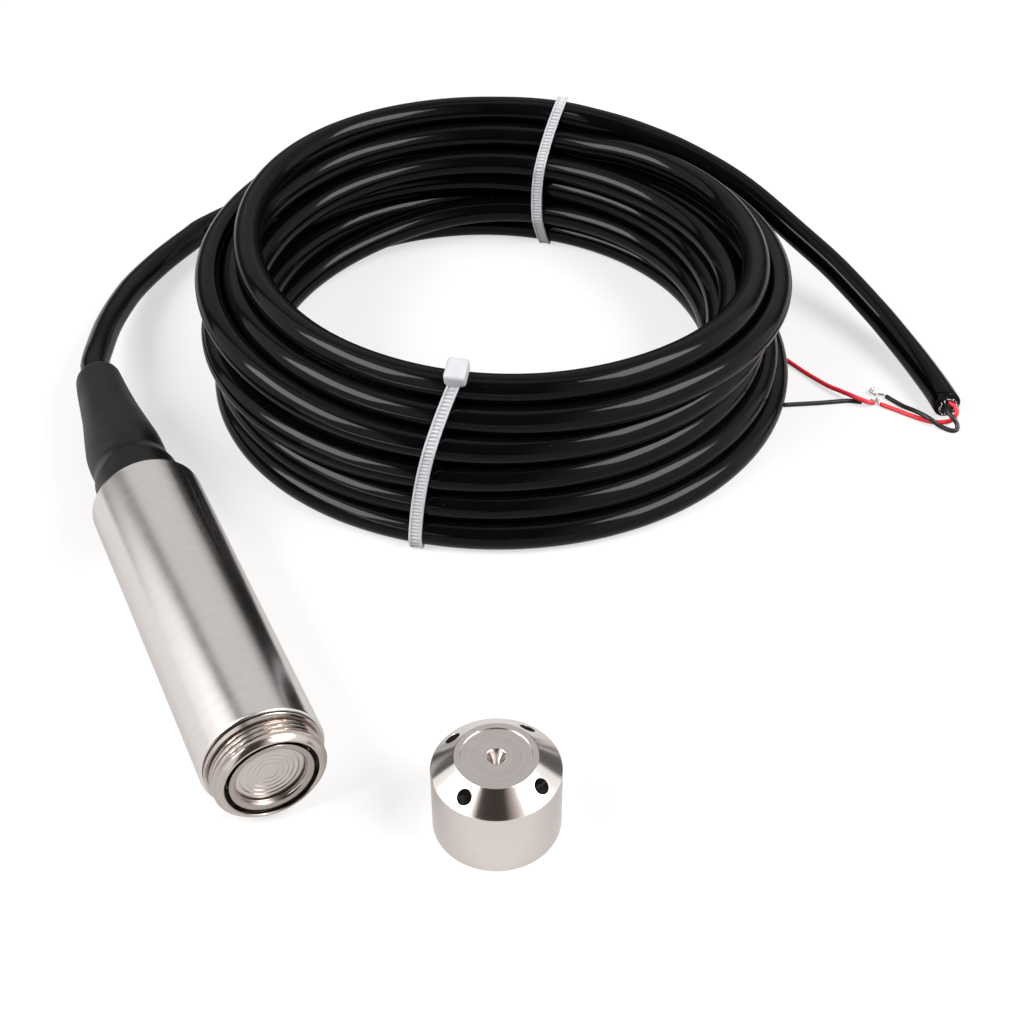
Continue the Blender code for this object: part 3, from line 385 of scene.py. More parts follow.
def axis_frame(tree, centre, axis):
    """Place along and distance from a piece's axis."""
    x, y, z = centre
    if axis == ALONG_PROBE:
        inputs = {"Location": (-x, z, -y), "Rotation": (math.pi / 2, 0.0, 0.0)}
    else:
        inputs = {"Location": (-x, -y, -z)}
    inputs["Vector"] = object_place(tree)
    local = add(tree, "Mapping", inputs).outputs["Vector"]
    flat = add(tree, "VectorMath", {0: local, 1: (1.0, 1.0, 0.0)}, operation="MULTIPLY")
    radius = add(tree, "VectorMath", {0: flat.outputs[0]}, operation="LENGTH").outputs["Value"]
    along = add(tree, "SeparateXYZ", {0: local}).outputs["Z"]
    return local, radius, along


def line_noise(tree, value, size, detail=2.0):
    """Noise along one line, with features of about the given size."""
    return add(tree, "TexNoise", {"W": value, "Scale": 1.0 / size, "Detail": detail,
                                  "Roughness": 0.6}, noise_dimensions="1D").outputs["Fac"]


def lathe_marks(tree, centre, axis, sizes, handling):
    """The marks of the lathe's tool round an axis, and the tone that they and handling give."""
    local, radius, along = axis_frame(tree, centre, axis)
    run = plus(tree, radius, along)
    fine = line_noise(tree, run, sizes[0], 3.0)
    broad = line_noise(tree, run, sizes[1], 2.0)
    handled = noise(tree, local, *handling)
    marks = plus(tree, times(tree, fine, 0.7), times(tree, broad, 0.3))
    tone = plus(tree, times(tree, marks, 0.7), times(tree, handled, 0.3))
    return fine, marks, handled, span(tree, tone, 0.3, 0.7)


def steel(name, centre, axis, roughness=None, colour=None, mark_depth=0.0014 * MM,
          mark_scale=1.0):
    """Stainless steel with the fine marks that the lathe's tool leaves round an axis."""
    look = bpy.context.scene.probe_steel
    colour = colour or tuple(look.colour)
    roughness = roughness or look.roughness
    material, tree, shader = new_material(name, colour, metallic=1.0)
    pitch = look.mark_spacing * mark_scale
    fine, marks, handled, tone = lathe_marks(tree, centre, axis, (pitch, 9 * pitch),
                                             (3 * MM, 5.0, 0.65))
    drive(tree, shader, "Base Color",
          blend_colours(tree, tone, toned(colour, 0.93), toned(colour, 1.04)))
    spread = plus(tree, times(tree, handled, 0.6), times(tree, fine, 0.4))
    drive(tree, shader, "Roughness",
          span(tree, spread, 0.3, 0.7, roughness * 0.86, roughness * 1.14))
    drive(tree, shader, "Normal", bump(tree, marks, mark_depth))
    return material


def paint_gap_shade(material, low, high, behind):
    """Darken the nose's narrow ring gap with painted shade, less so at its foot, where light falls."""
    tree = material.node_tree
    shader = tree.nodes["Principled BSDF"]
    _, radius, along = axis_frame(tree, NOSE_CENTRE, ALONG_PROBE)
    inside = times(tree, calc(tree, "GREATER_THAN", radius, low),
                   calc(tree, "LESS_THAN", radius, high))
    inside = times(tree, inside, calc(tree, "GREATER_THAN", along, behind))
    low_side = dot(tree, object_place(tree), FOOT)
    start = Vector(FOOT).dot(Vector((PROBE_X, 0.0, AXIS_Z)))
    inside = times(tree, inside,
                   span(tree, low_side, start + 4.5 * MM, start + 7.0 * MM, 1.0, 0.25))
    # Painted shade: blend the finish's own colour towards the dark gap colour inside the gap
    unshaded = shader.inputs["Base Color"].links[0].from_socket
    drive(tree, shader, "Base Color", blend_colours(tree, inside, unshaded, PAINTED_GAP_SHADE))


def jacket_material():
    """Glossy black cable jacket with faint drawing lines along it and specks of dust."""
    look = bpy.context.scene.probe_cable
    base = tuple(look.colour)
    material, tree, shader = new_material("cable_jacket", base, look.gloss)
    shader.inputs["Specular IOR Level"].default_value = 0.15
    place = object_place(tree)
    uv = add(tree, "UVMap", uv_map="cable_uv").outputs["UV"]
    lines = add(tree, "Mapping", {"Vector": uv, "Scale": (6.0, 34.0, 1.0)}).outputs["Vector"]
    drawn = add(tree, "TexNoise", {"Vector": lines, "Scale": 1.0, "Detail": 2.0}).outputs["Fac"]
    cloud = noise(tree, place, 14 * MM, 3.0)
    speck = noise(tree, place, 0.35 * MM, 1.0)
    dust = span(tree, speck, 0.79, 0.83)
    body = blend_colours(tree, cloud, base, toned(base, 1.5))
    drive(tree, shader, "Base Color", blend_colours(tree, dust, body, (0.12, 0.12, 0.12)))
    rough = span(tree, cloud, 0.3, 0.7, look.gloss * 0.85, look.gloss * 1.2)
    drive(tree, shader, "Roughness", plus(tree, rough, times(tree, dust, 0.3)))
    waves = bump(tree, drawn, 0.012 * MM)
    drive(tree, shader, "Normal", bump(tree, cloud, 0.25 * MM, waves, 0.35))
    return material


def plastic(name, colour, roughness, grain=0.4 * MM, depth=0.01 * MM):
    """Moulded plastic: a little uneven in colour and gloss, with a fine skin."""
    material, tree, shader = new_material(name, colour, roughness)
    place = object_place(tree)
    skin = noise(tree, place, grain, 3.0)
    cloud = noise(tree, place, 5 * MM, 2.0)
    drive(tree, shader, "Base Color",
          blend_colours(tree, cloud, toned(colour, 0.86), toned(colour, 1.08)))
    drive(tree, shader, "Roughness",
          span(tree, skin, 0.3, 0.7, roughness * 0.85, roughness * 1.15))
    drive(tree, shader, "Normal", bump(tree, skin, depth))
    return material


def metal(name, colour, roughness, grain=0.3 * MM, depth=0.004 * MM):
    """Plain metal with fine unevenness."""
    material, tree, shader = new_material(name, colour, roughness, 1.0)
    place = object_place(tree)
    skin = noise(tree, place, grain, 4.0)
    drive(tree, shader, "Base Color", blend_colours(tree, skin, toned(colour, 0.8), colour))
    drive(tree, shader, "Roughness", span(tree, skin, 0.3, 0.7, roughness * 0.8, roughness * 1.2))
    drive(tree, shader, "Normal", bump(tree, skin, depth))
    return material


def boot_material():
    """Matte shrunk sleeve: soft mottling, darker and glossier over its part next to the tube."""
    colour = tuple(bpy.context.scene.probe_trim.boot_colour)
    material, tree, shader = new_material("boot_sleeve", colour)
    shader.inputs["Specular IOR Level"].default_value = 0.3
    place = object_place(tree)
    grain = noise(tree, place, 0.5 * MM, 3.0)
    cloud = noise(tree, place, 9 * MM, 3.0)
    along = add(tree, "SeparateXYZ", {0: place}).outputs["Y"]
    next_to_tube = span(tree, along, TUBE_HIGH[1] + 13 * MM, TUBE_HIGH[1] + 22 * MM, 1.0, 0.0)
    rest_of_sleeve = blend_colours(tree, cloud, toned(colour, 0.85), toned(colour, 1.35))
    drive(tree, shader, "Base Color", blend_colours(tree, next_to_tube, rest_of_sleeve, toned(colour, 0.35)))
    rough = span(tree, cloud, 0.3, 0.7, 0.38, 0.5)
    drive(tree, shader, "Roughness", plus(tree, rough, times(tree, next_to_tube, -0.1)))
    drive(tree, shader, "Normal", bump(tree, cloud, 0.3 * MM, bump(tree, grain, 0.02 * MM), 0.5))
    return material


def tie_material():
    """Natural nylon: milky and a little see-through."""
    colour = tuple(bpy.context.scene.probe_trim.nylon)
    material, tree, shader = new_material("tie_nylon", colour)
    shader.inputs["Subsurface Weight"].default_value = 0.35
    shader.inputs["Subsurface Radius"].default_value = (1.0, 1.0, 1.05)
    shader.inputs["Subsurface Scale"].default_value = 0.8 * MM
    shader.inputs["Transmission Weight"].default_value = 0.06
    place = object_place(tree)
    cloud = noise(tree, place, 2.2 * MM, 3.0)
    skin = noise(tree, place, 0.3 * MM, 3.0)
    drive(tree, shader, "Base Color",
          blend_colours(tree, cloud, toned(colour, 0.86), colour))
    drive(tree, shader, "Roughness", span(tree, cloud, 0.3, 0.7, 0.28, 0.42))
    drive(tree, shader, "Normal", bump(tree, skin, 0.012 * MM))
    return material


# ---------------------------------------------------------------- helpers for meshes

def deselect():
    """Leave edit mode and deselect every object."""
    if bpy.context.object and bpy.context.object.mode != "OBJECT":
        bpy.ops.object.mode_set(mode="OBJECT")
    bpy.ops.object.select_all(action="DESELECT")


def select(obj):
    """Select one object and make it active."""
    deselect()
    obj.select_set(True)
    bpy.context.view_layer.objects.active = obj


def place_piece(obj, material, slot, *nodes):
    """Dress a finished piece, let it ride on the root body, and let it stand for CAD nodes."""
    obj.data.materials.clear()
    obj.data.materials.append(material)
    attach(obj, "root")
    if nodes:
        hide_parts(*nodes)


def shade(obj, degrees=32.0):
    """Smooth shading with sharp edges kept."""
    select(obj)
    bpy.ops.object.shade_smooth_by_angle(angle=math.radians(degrees))


def new_object(name, data):
    """A new object in the scene that holds the given data."""
    obj = bpy.data.objects.new(name, data)
    bpy.context.scene.collection.objects.link(obj)
    return obj


def built(name, mesh):
    """A new object from a bmesh, with its normals out."""
    bmesh.ops.recalc_face_normals(mesh, faces=mesh.faces)
    data = bpy.data.meshes.new(name)
    mesh.to_mesh(data)
    mesh.free()
    return new_object(name, data)


def stitch(mesh, first, second):
    """Faces between two rings of vertices, one after another."""
    for step in range(len(first)):
        after = (step + 1) % len(first)
        yield step, mesh.faces.new((first[step], first[after], second[after], second[step]))


def held(value):
    """A value kept between nought and one."""
    return min(1.0, max(0.0, value))


def rounded(profile, size, closed=True):
    """A profile of (radius, along) points with rounded corners and a row that holds each flat."""
    points = [Vector(point) for point in profile]
    count = len(points)
    result = []
    for index, corner in enumerate(points):
        if not closed and index in (0, count - 1):
            result.append(tuple(corner))
            continue
        before = points[index - 1] - corner
        after = points[(index + 1) % count] - corner
        if before.length < 1e-9 or after.length < 1e-9:
            result.append(tuple(corner))
            continue
        bend = math.pi - before.angle(after)
        reach = min(size, 0.42 * before.length, 0.42 * after.length)
        if bend < math.radians(12) or corner.x < 1e-9:
            result.append(tuple(corner))
            continue
        start = corner + before.normalized() * reach
        end = corner + after.normalized() * reach
        hold = reach + FLAT_HOLD
        if hold < 0.45 * before.length:
            result.append(tuple(corner + before.normalized() * hold))
        for step in range(CORNER_STEPS + 1):
            share = step / CORNER_STEPS
            result.append(tuple(start.lerp(corner, share).lerp(corner.lerp(end, share), share)))
        if hold < 0.45 * after.length:
            result.append(tuple(corner + after.normalized() * hold))
    return result


def spun(name, profile, centre, axis, closed=True, steps=SPIN_STEPS):
    """Spin a profile of (radius, place along the axis) points into a turned piece."""
    deselect()
    points = [Vector(centre) + Vector(axis) * along + Vector((radius, 0.0, 0.0))
              for radius, along in profile]
    edges = [(index, index + 1) for index in range(len(points) - 1)]
    if closed:
        edges.append((len(points) - 1, 0))
    mesh = bpy.data.meshes.new(name)
    mesh.from_pydata(points, edges, [])
    obj = new_object(name, mesh)
    select(obj)
    bpy.ops.object.mode_set(mode="EDIT")
    bpy.ops.mesh.select_all(action="SELECT")
    bpy.ops.mesh.spin(steps=steps, angle=2 * math.pi, center=centre, axis=axis)
    bpy.ops.mesh.select_all(action="SELECT")
    bpy.ops.mesh.remove_doubles(threshold=1e-6)
    bpy.ops.mesh.normals_make_consistent(inside=False)
    bpy.ops.object.mode_set(mode="OBJECT")
    return obj


def curve(points, steps):
    """Samples on a smooth curve through points, so many from each one to the next."""
    guides = [points[0] * 2 - points[1], *points, points[-1] * 2 - points[-2]]
    line = []
    for a, b, c, d in zip(guides, guides[1:], guides[2:], guides[3:]):
        for step in range(steps):
            t = step / steps
            line.append(0.5 * (2 * b + (c - a) * t + (2 * a - 5 * b + 4 * c - d) * t * t
                               + (3 * b - a - 3 * c + d) * t * t * t))
    return line


def distances(line):
    """How far along a line each of its points lies."""
    run = [0.0]
    for a, b in zip(line, line[1:]):
        run.append(run[-1] + (b - a).length)
    return run


def evenly(line, run, count):
    """The points that cut a line into so many equal lengths, and its two ends."""
    even = []
    at = 0
    for number in range(count + 1):
        target = run[-1] * number / count
        while at < len(line) - 2 and run[at + 1] < target:
            at += 1
        share = (target - run[at]) / max(run[at + 1] - run[at], 1e-9)
        even.append(line[at].lerp(line[at + 1], min(max(share, 0.0), 1.0)))
    return even


def smooth_route(points, spacing):
    """Evenly spaced points on a smooth curve through the given ones."""
    given = [Vector(point) for point in points]
    fine = curve(given, 12) + [given[-1]]
    run = distances(fine)
    return evenly(fine, run, max(2, round(run[-1] / spacing)))


def carried_frames(points):
    """Unit vectors across a route at each point, carried along it without twist."""
    tangents = []
    for index in range(len(points)):
        ahead = points[min(index + 1, len(points) - 1)]
        behind = points[max(index - 1, 0)]
        tangents.append((ahead - behind).normalized())
    side = tangents[0].orthogonal().normalized()
    frames = []
    for tangent in tangents:
        side = (side - tangent * side.dot(tangent)).normalized()
        frames.append((side, tangent.cross(side)))
    return frames


def sweep(name, points, radii, sides, uv_name=None):
    """A round tube along a route as one closed mesh, with an optional UV map along and round it."""
    mesh = bmesh.new()
    run = distances(points)
    rings = []
    for point, (side, up), radius in zip(points, carried_frames(points), radii):
        angles = [2 * math.pi * step / sides for step in range(sides)]
        rings.append([mesh.verts.new(point + (side * math.cos(angle) + up * math.sin(angle))
                                     * radius) for angle in angles])
    layer = mesh.loops.layers.uv.new(uv_name) if uv_name else None
    for number, (first, second) in enumerate(zip(rings, rings[1:])):
        for step, face in stitch(mesh, first, second):
            face.smooth = True
            if layer:
                here, there = step / sides, (step + 1) / sides
                places = ((run[number], here), (run[number], there),
                          (run[number + 1], there), (run[number + 1], here))
                for loop, place in zip(face.loops, places):
                    loop[layer].uv = place
    mesh.faces.new(list(reversed(rings[0])))
    mesh.faces.new(rings[-1])
    return built(name, mesh)


def join_pieces(name, pieces):
    """Join several meshes into one piece."""
    select(pieces[0])
    for piece in pieces:
        piece.select_set(True)
    bpy.ops.object.join()
    obj = bpy.context.object
    obj.name = name
    obj.data.name = name
    return obj


# ---------------------------------------------------------------- the cable's route

def settle_turns(diameter):
    """Samples of the coil as (radius, height), settled so that turns lie on and beside each other."""
    stations = np.array([station for turn in TURNS for station in turn] + [COIL_END[0]], float)
    samples = np.vstack(curve(list(stations), SAMPLES_A_STATION) + [np.array(COIL_END, float)])
    samples[:len(COIL_START)] = COIL_START
    home = samples.copy()
    for step in range(SETTLE_STEPS):
        push = np.zeros_like(samples)
        for plane in range(SAMPLES_A_TURN):
            members = np.arange(plane, len(samples), SAMPLES_A_TURN)
            apart = samples[members][:, None] - samples[members][None]
            distance = np.linalg.norm(apart, axis=2) + 1e-9
            short = (distance < diameter) & (distance > 1e-6)
            force = np.where(short, (diameter - distance) / distance / 2, 0.0)
            push[members] += (force[..., None] * apart).sum(1) * SETTLE_PUSH
        samples += push
        soft = samples.copy()
        soft[2:-2] = (samples[:-4] + 4 * samples[1:-3] + 6 * samples[2:-2] + 4 * samples[3:-1]
                      + samples[4:]) / 16
        samples += (soft - samples) * SETTLE_SMOOTH
        samples += (home - samples) * SETTLE_PULL * (1 - step / SETTLE_STEPS)
        samples[:, 1] = np.maximum(samples[:, 1], diameter / 2 + 0.05)
        samples[:len(COIL_START)] = COIL_START
        samples[-len(COIL_END):] = COIL_END
    return samples


def coil_points(samples):
    """Places of the coil's samples, in mm."""
    points = []
    for number, (radius, height) in enumerate(samples):
        angle = math.radians(BACK_ANGLE - 360.0 * number / SAMPLES_A_TURN)
        points.append((COIL_MIDDLE[0] + radius * math.cos(angle),
                       COIL_MIDDLE[1] + radius * math.sin(angle), height))
    return points


def cable_route(samples):
    """The whole centreline in mm: out of the boot, through the coil, to the cut end."""
    route = [(EXIT[0] + x, EXIT[1] + y, z) for x, y, z in LEAD_ROUTE]
    route += coil_points(samples)
    route += [(COIL_MIDDLE[0] + x, COIL_MIDDLE[1] + y, z) for x, y, z in TAIL_ROUTE]
    return route


def from_coil(route):
    """A route measured from the coil's middle in mm, as vectors in metres."""
    return [Vector(((COIL_MIDDLE[0] + x) * MM, (COIL_MIDDLE[1] + y) * MM, z * MM))
            for x, y, z in route]


# ---------------------------------------------------------------- operators

class PROBE_OT_cores(bpy.types.Operator):
    """Make the red and black cores, their bare strands and the frayed screen at the cut end"""
    bl_idname = "probe.cores"
    bl_label = "Cores and screen"

    def execute(self, context):
        trim = context.scene.probe_trim
        red = plastic("red_insulation", tuple(trim.red), 0.3, 0.25 * MM, 0.004 * MM)
        black = plastic("black_insulation", (0.009, 0.009, 0.01), 0.35, 0.25 * MM, 0.004 * MM)
        copper = metal("tinned_copper", (0.78, 0.76, 0.74), 0.24, 0.1 * MM, 0.002 * MM)
        self.core("red_core", RED_ROUTE, red, "red_insulation", "red_wire")
        self.core("red_slug", RED_TIP_ROUTE, red, "red_insulation", "red_wire_tip")
        self.core("black_core", BLACK_ROUTE, black, "black_insulation", "black_wire")
        self.core("black_slug", BLACK_TIP_ROUTE, black, "black_insulation", "black_wire_tip")
        self.strands("red_bare_strands", RED_STRAND_ROUTES, copper, "red_strands", 5)
        self.strands("black_bare_strands", BLACK_STRAND_ROUTES, copper, "black_strands", 11)
        self.screen(copper)
        return {"FINISHED"}

    def core(self, name, route, material, slot, node):
        """One insulated core with softened ends."""
        points = smooth_route(from_coil(route), 0.4 * MM)
        for point in points:
            point.z = max(point.z, WIRE_R * MM)
        radii = [WIRE_R * MM] * len(points)
        radii[0] *= 0.9
        radii[-1] *= 0.9
        place_piece(sweep(name, points, radii, 14), material, slot, node)

    def strands(self, name, routes, material, node, seed):
        """Fine bare strands that spread a little from each other."""
        draw = random.Random(seed)
        pieces = []
        for route in routes:
            for copy in range(3):
                shift = Vector((draw.uniform(-0.16, 0.16), draw.uniform(-0.16, 0.16),
                                draw.uniform(-0.1, 0.16))) * MM
                points = []
                for index, point in enumerate(from_coil(route)):
                    spread = index / (len(route) - 1)
                    place = point + shift * (0.5 + 1.6 * spread)
                    place.z = max(place.z, STRAND_R * MM)
                    points.append(place)
                points = smooth_route(points, 0.25 * MM)
                pieces.append(sweep(name, points, [STRAND_R * MM] * len(points), 8))
        place_piece(join_pieces(name, pieces), material, "tinned_copper", node)

    def screen(self, material):
        """The tinned screen: fine wires that stick out of the cut jacket, all round."""
        draw = random.Random(3)
        before, end = from_coil(TAIL_ROUTE)[-2:]
        ahead = (end - before).normalized()
        side = ahead.cross(Vector(UPRIGHT)).normalized()
        up = side.cross(ahead)
        pieces = []
        for number in range(BRAID_WIRES):
            angle = 2 * math.pi * number / BRAID_WIRES + draw.uniform(-0.08, 0.08)
            out = side * math.cos(angle) + up * math.sin(angle)
            radius = BRAID_R * MM * draw.uniform(0.86, 1.0)
            length = draw.uniform(0.5, 1.7) * MM
            twist = (-side * math.sin(angle) + up * math.cos(angle)) * draw.uniform(-0.5, 0.5)
            points = []
            for step in range(6):
                share = step / 5
                points.append(end + ahead * (length * share - 1.1 * MM * (1 - share))
                              + out * (radius + draw.uniform(-0.05, 0.12) * MM * share)
                              + twist * length * share)
            for point in points:
                point.z = max(point.z, 0.08 * MM)
            pieces.append(sweep("screen_wire", points, [BRAID_WIRE_R * MM] * 6, 6))
        place_piece(join_pieces("frayed_screen", pieces), material, "tinned_copper",
                    "shield_braid")


class PROBE_OT_ties(bpy.types.Operator):
    """Make the two nylon ties that hold the coil, each drawn tight round its strands"""
    bl_idname = "probe.ties"
    bl_label = "Cable ties"

    def execute(self, context):
        diameter = context.scene.probe_cable.diameter / MM
        samples = settle_turns(diameter)
        material = tie_material()
        for name, angle in TIE_ANGLES.items():
            self.tie(name, angle, samples, diameter, material)
        return {"FINISHED"}

    def section(self, samples, angle):
        """Where the strands cross the upright plane at an angle, as (radius, height)."""
        number = (BACK_ANGLE - angle) % 360.0 / 360.0 * SAMPLES_A_TURN
        found = []
        while number < len(samples) - 1:
            index = int(number)
            share = number - index
            found.append(samples[index] * (1 - share) + samples[index + 1] * share)
            number += SAMPLES_A_TURN
        return [tuple(point) for point in found]

    def hull(self, points):
        """The outer strands, in order round the bundle."""
        points = sorted(points)
        parts = []
        for sequence in (points, points[::-1]):
            chain = []
            for point in sequence:
                while len(chain) > 1 and self.turn(chain[-2], chain[-1], point) <= 0:
                    chain.pop()
                chain.append(point)
            parts += chain[:-1]
        return parts

    def turn(self, a, b, c):
        """Positive where the way from a over b to c turns left."""
        return (b[0] - a[0]) * (c[1] - a[1]) - (b[1] - a[1]) * (c[0] - a[0])

    def band(self, points, reach):
        """A closed line round the outer strands at a distance from their centres."""
        line = []
        count = len(points)
        for index, point in enumerate(points):
            before = Vector(point) - Vector(points[index - 1])
            after = Vector(points[(index + 1) % count]) - Vector(point)
            start = math.atan2(-before.x, before.y)
            end = math.atan2(-after.x, after.y)
            while end < start:
                end += 2 * math.pi
            steps = max(2, int((end - start) / 0.2))
            for step in range(steps + 1):
                angle = start + (end - start) * step / steps
                line.append(Vector((point[0] + reach * math.cos(angle),
                                    point[1] + reach * math.sin(angle))))
        return line

    def drift(self, name, height):
        """How far the strap runs sideways from its upright plane at a height."""
        above = height - TIE_MIDDLE
        return (TIE_SLANTS[name] * above + TIE_SHIFTS[name]
                + TIE_BOWS[name] * (1 - (above / TIE_MIDDLE) ** 2))

    def tie(self, name, angle, samples, diameter, material):
        """One tie: a ribbed strap round the bundle and a head at its top."""
        outline = self.band(self.hull(self.section(samples, angle)), diameter / 2 + TIE_PLAY)
        outline = [Vector((point.x, max(point.y, TIE_LOWEST))) for point in outline]
        closed = outline + [outline[0]]
        run = distances(closed)
        count = round(run[-1] / (TIE_RIB_PITCH / 2)) // 2 * 2
        stations = evenly(closed, run, count)[:-1]
        out = Vector((math.cos(math.radians(angle)), math.sin(math.radians(angle)), 0.0))
        across = Vector((-out.y, out.x, 0.0))
        middle = Vector((*COIL_MIDDLE, 0.0))
        mesh = bmesh.new()
        rings = []
        for number, point in enumerate(stations):
            ahead = stations[(number + 1) % count] - stations[number - 1]
            normal = Vector((ahead.y, -ahead.x)).normalized()
            ring = []
            for sideways, proud in self.outline(TIE_THICKNESS * TIE_RIB_HEIGHTS[number % 2]):
                place = point + normal * proud
                place.y = max(place.y, TIE_OFF_FLOOR)
                drift = sideways + self.drift(name, place.y)
                ring.append(mesh.verts.new((middle + out * place.x + across * drift
                                            + Vector((0.0, 0.0, place.y))) * MM))
            rings.append(ring)
        for number, ring in enumerate(rings):
            list(stitch(mesh, ring, rings[(number + 1) % count]))
        strap = built(name + "_strap", mesh)
        shade(strap, 25.0)
        head = self.head(name, stations, out, across, middle)
        whole = join_pieces(name + "_nylon", [strap, head])
        place_piece(whole, material, "tie_nylon", name)

    def outline(self, trough):
        """The strap's cross-section, with a rim on each side of the ribbed middle."""
        half, full = TIE_WIDTH / 2, TIE_THICKNESS
        left = [(-half, 0.0), (-half, full * 0.85), (-half + TIE_CHAMFER, full),
                (-half + TIE_RIM, full), (-half + TIE_RIM + TIE_CHAMFER, trough)]
        return left + [(-sideways, proud) for sideways, proud in reversed(left)]

    def head(self, name, stations, out, across, middle):
        """The tie's head: a softened block that the strap runs into."""
        corner = Vector((0.25, 1.0)) if name == "front_tie" else Vector((1.0, 0.1))
        best = max(range(len(stations)), key=lambda i: stations[i].dot(corner))
        place = stations[best]
        ahead = stations[(best + 2) % len(stations)] - stations[best - 2]
        normal = Vector((ahead.y, -ahead.x)).normalized()
        upward = out * normal.x + Vector((0.0, 0.0, normal.y))
        along = upward.cross(across)
        deselect()
        bpy.ops.mesh.primitive_cube_add(size=1.0)
        head = bpy.context.object
        head.name = name + "_head"
        bpy.ops.object.mode_set(mode="EDIT")
        bpy.ops.transform.resize(value=TIE_HEAD)
        bpy.ops.mesh.bevel(offset=1.0, segments=5)
        bpy.ops.object.mode_set(mode="OBJECT")
        centre = (middle + out * place.x + Vector((0.0, 0.0, place.y))
                  + across * self.drift(name, place.y)
                  + upward * (TIE_HEAD[2] / 2 - TIE_HEAD_SUNK))
        turn = Matrix((across, along, upward)).transposed().to_4x4()
        head.data.transform(Matrix.Scale(MM, 4) @ Matrix.Translation(centre) @ turn)
        if turn.determinant() < 0:
            head.data.flip_normals()
        shade(head, 35.0)
        return head


class PROBE_OT_cable(bpy.types.Operator):
    """Make the cable in one run: out of the boot, round the coil and down to its cut end"""
    bl_idname = "probe.cable"
    bl_label = "Cable"

    def execute(self, context):
        look = context.scene.probe_cable
        route = cable_route(settle_turns(look.diameter / MM))
        points = smooth_route([Vector(point) * MM for point in route], look.spacing)
        radius = look.diameter / 2
        radii = [radius] * len(points)
        ends, sizes = self.cut_end(points, radius)
        inward = (points[0] - points[1]).normalized()
        inside = [points[0] + inward * depth * MM for depth in (4.6, 3.0, 1.5)]
        cable = sweep("cable", inside + points + ends, [radius * 1.008] * 3 + radii + sizes,
                      look.sides, "cable_uv")
        place_piece(cable, jacket_material(), "cable_jacket", "cable_lead", "cable_coil",
                    "cable_tail")
        length = sum((b - a).length for a, b in zip(points, points[1:]))
        [tuple(point) for point in points]
        return {"FINISHED"}

    def cut_end(self, points, radius):
        """Rings of the cut end: a softened rim, the jacket's wall and the recess inside it."""
        end = points[-1]
        ahead = (points[-1] - points[-2]).normalized()
        steps = [(0.10, 0.985), (0.18, 0.94), (0.20, 0.88), (0.19, 0.74), (-0.6, 0.73),
                 (-1.0, 0.3)]
        ends = [end + ahead * distance * MM for distance, share in steps]
        return ends, [radius * share for distance, share in steps]


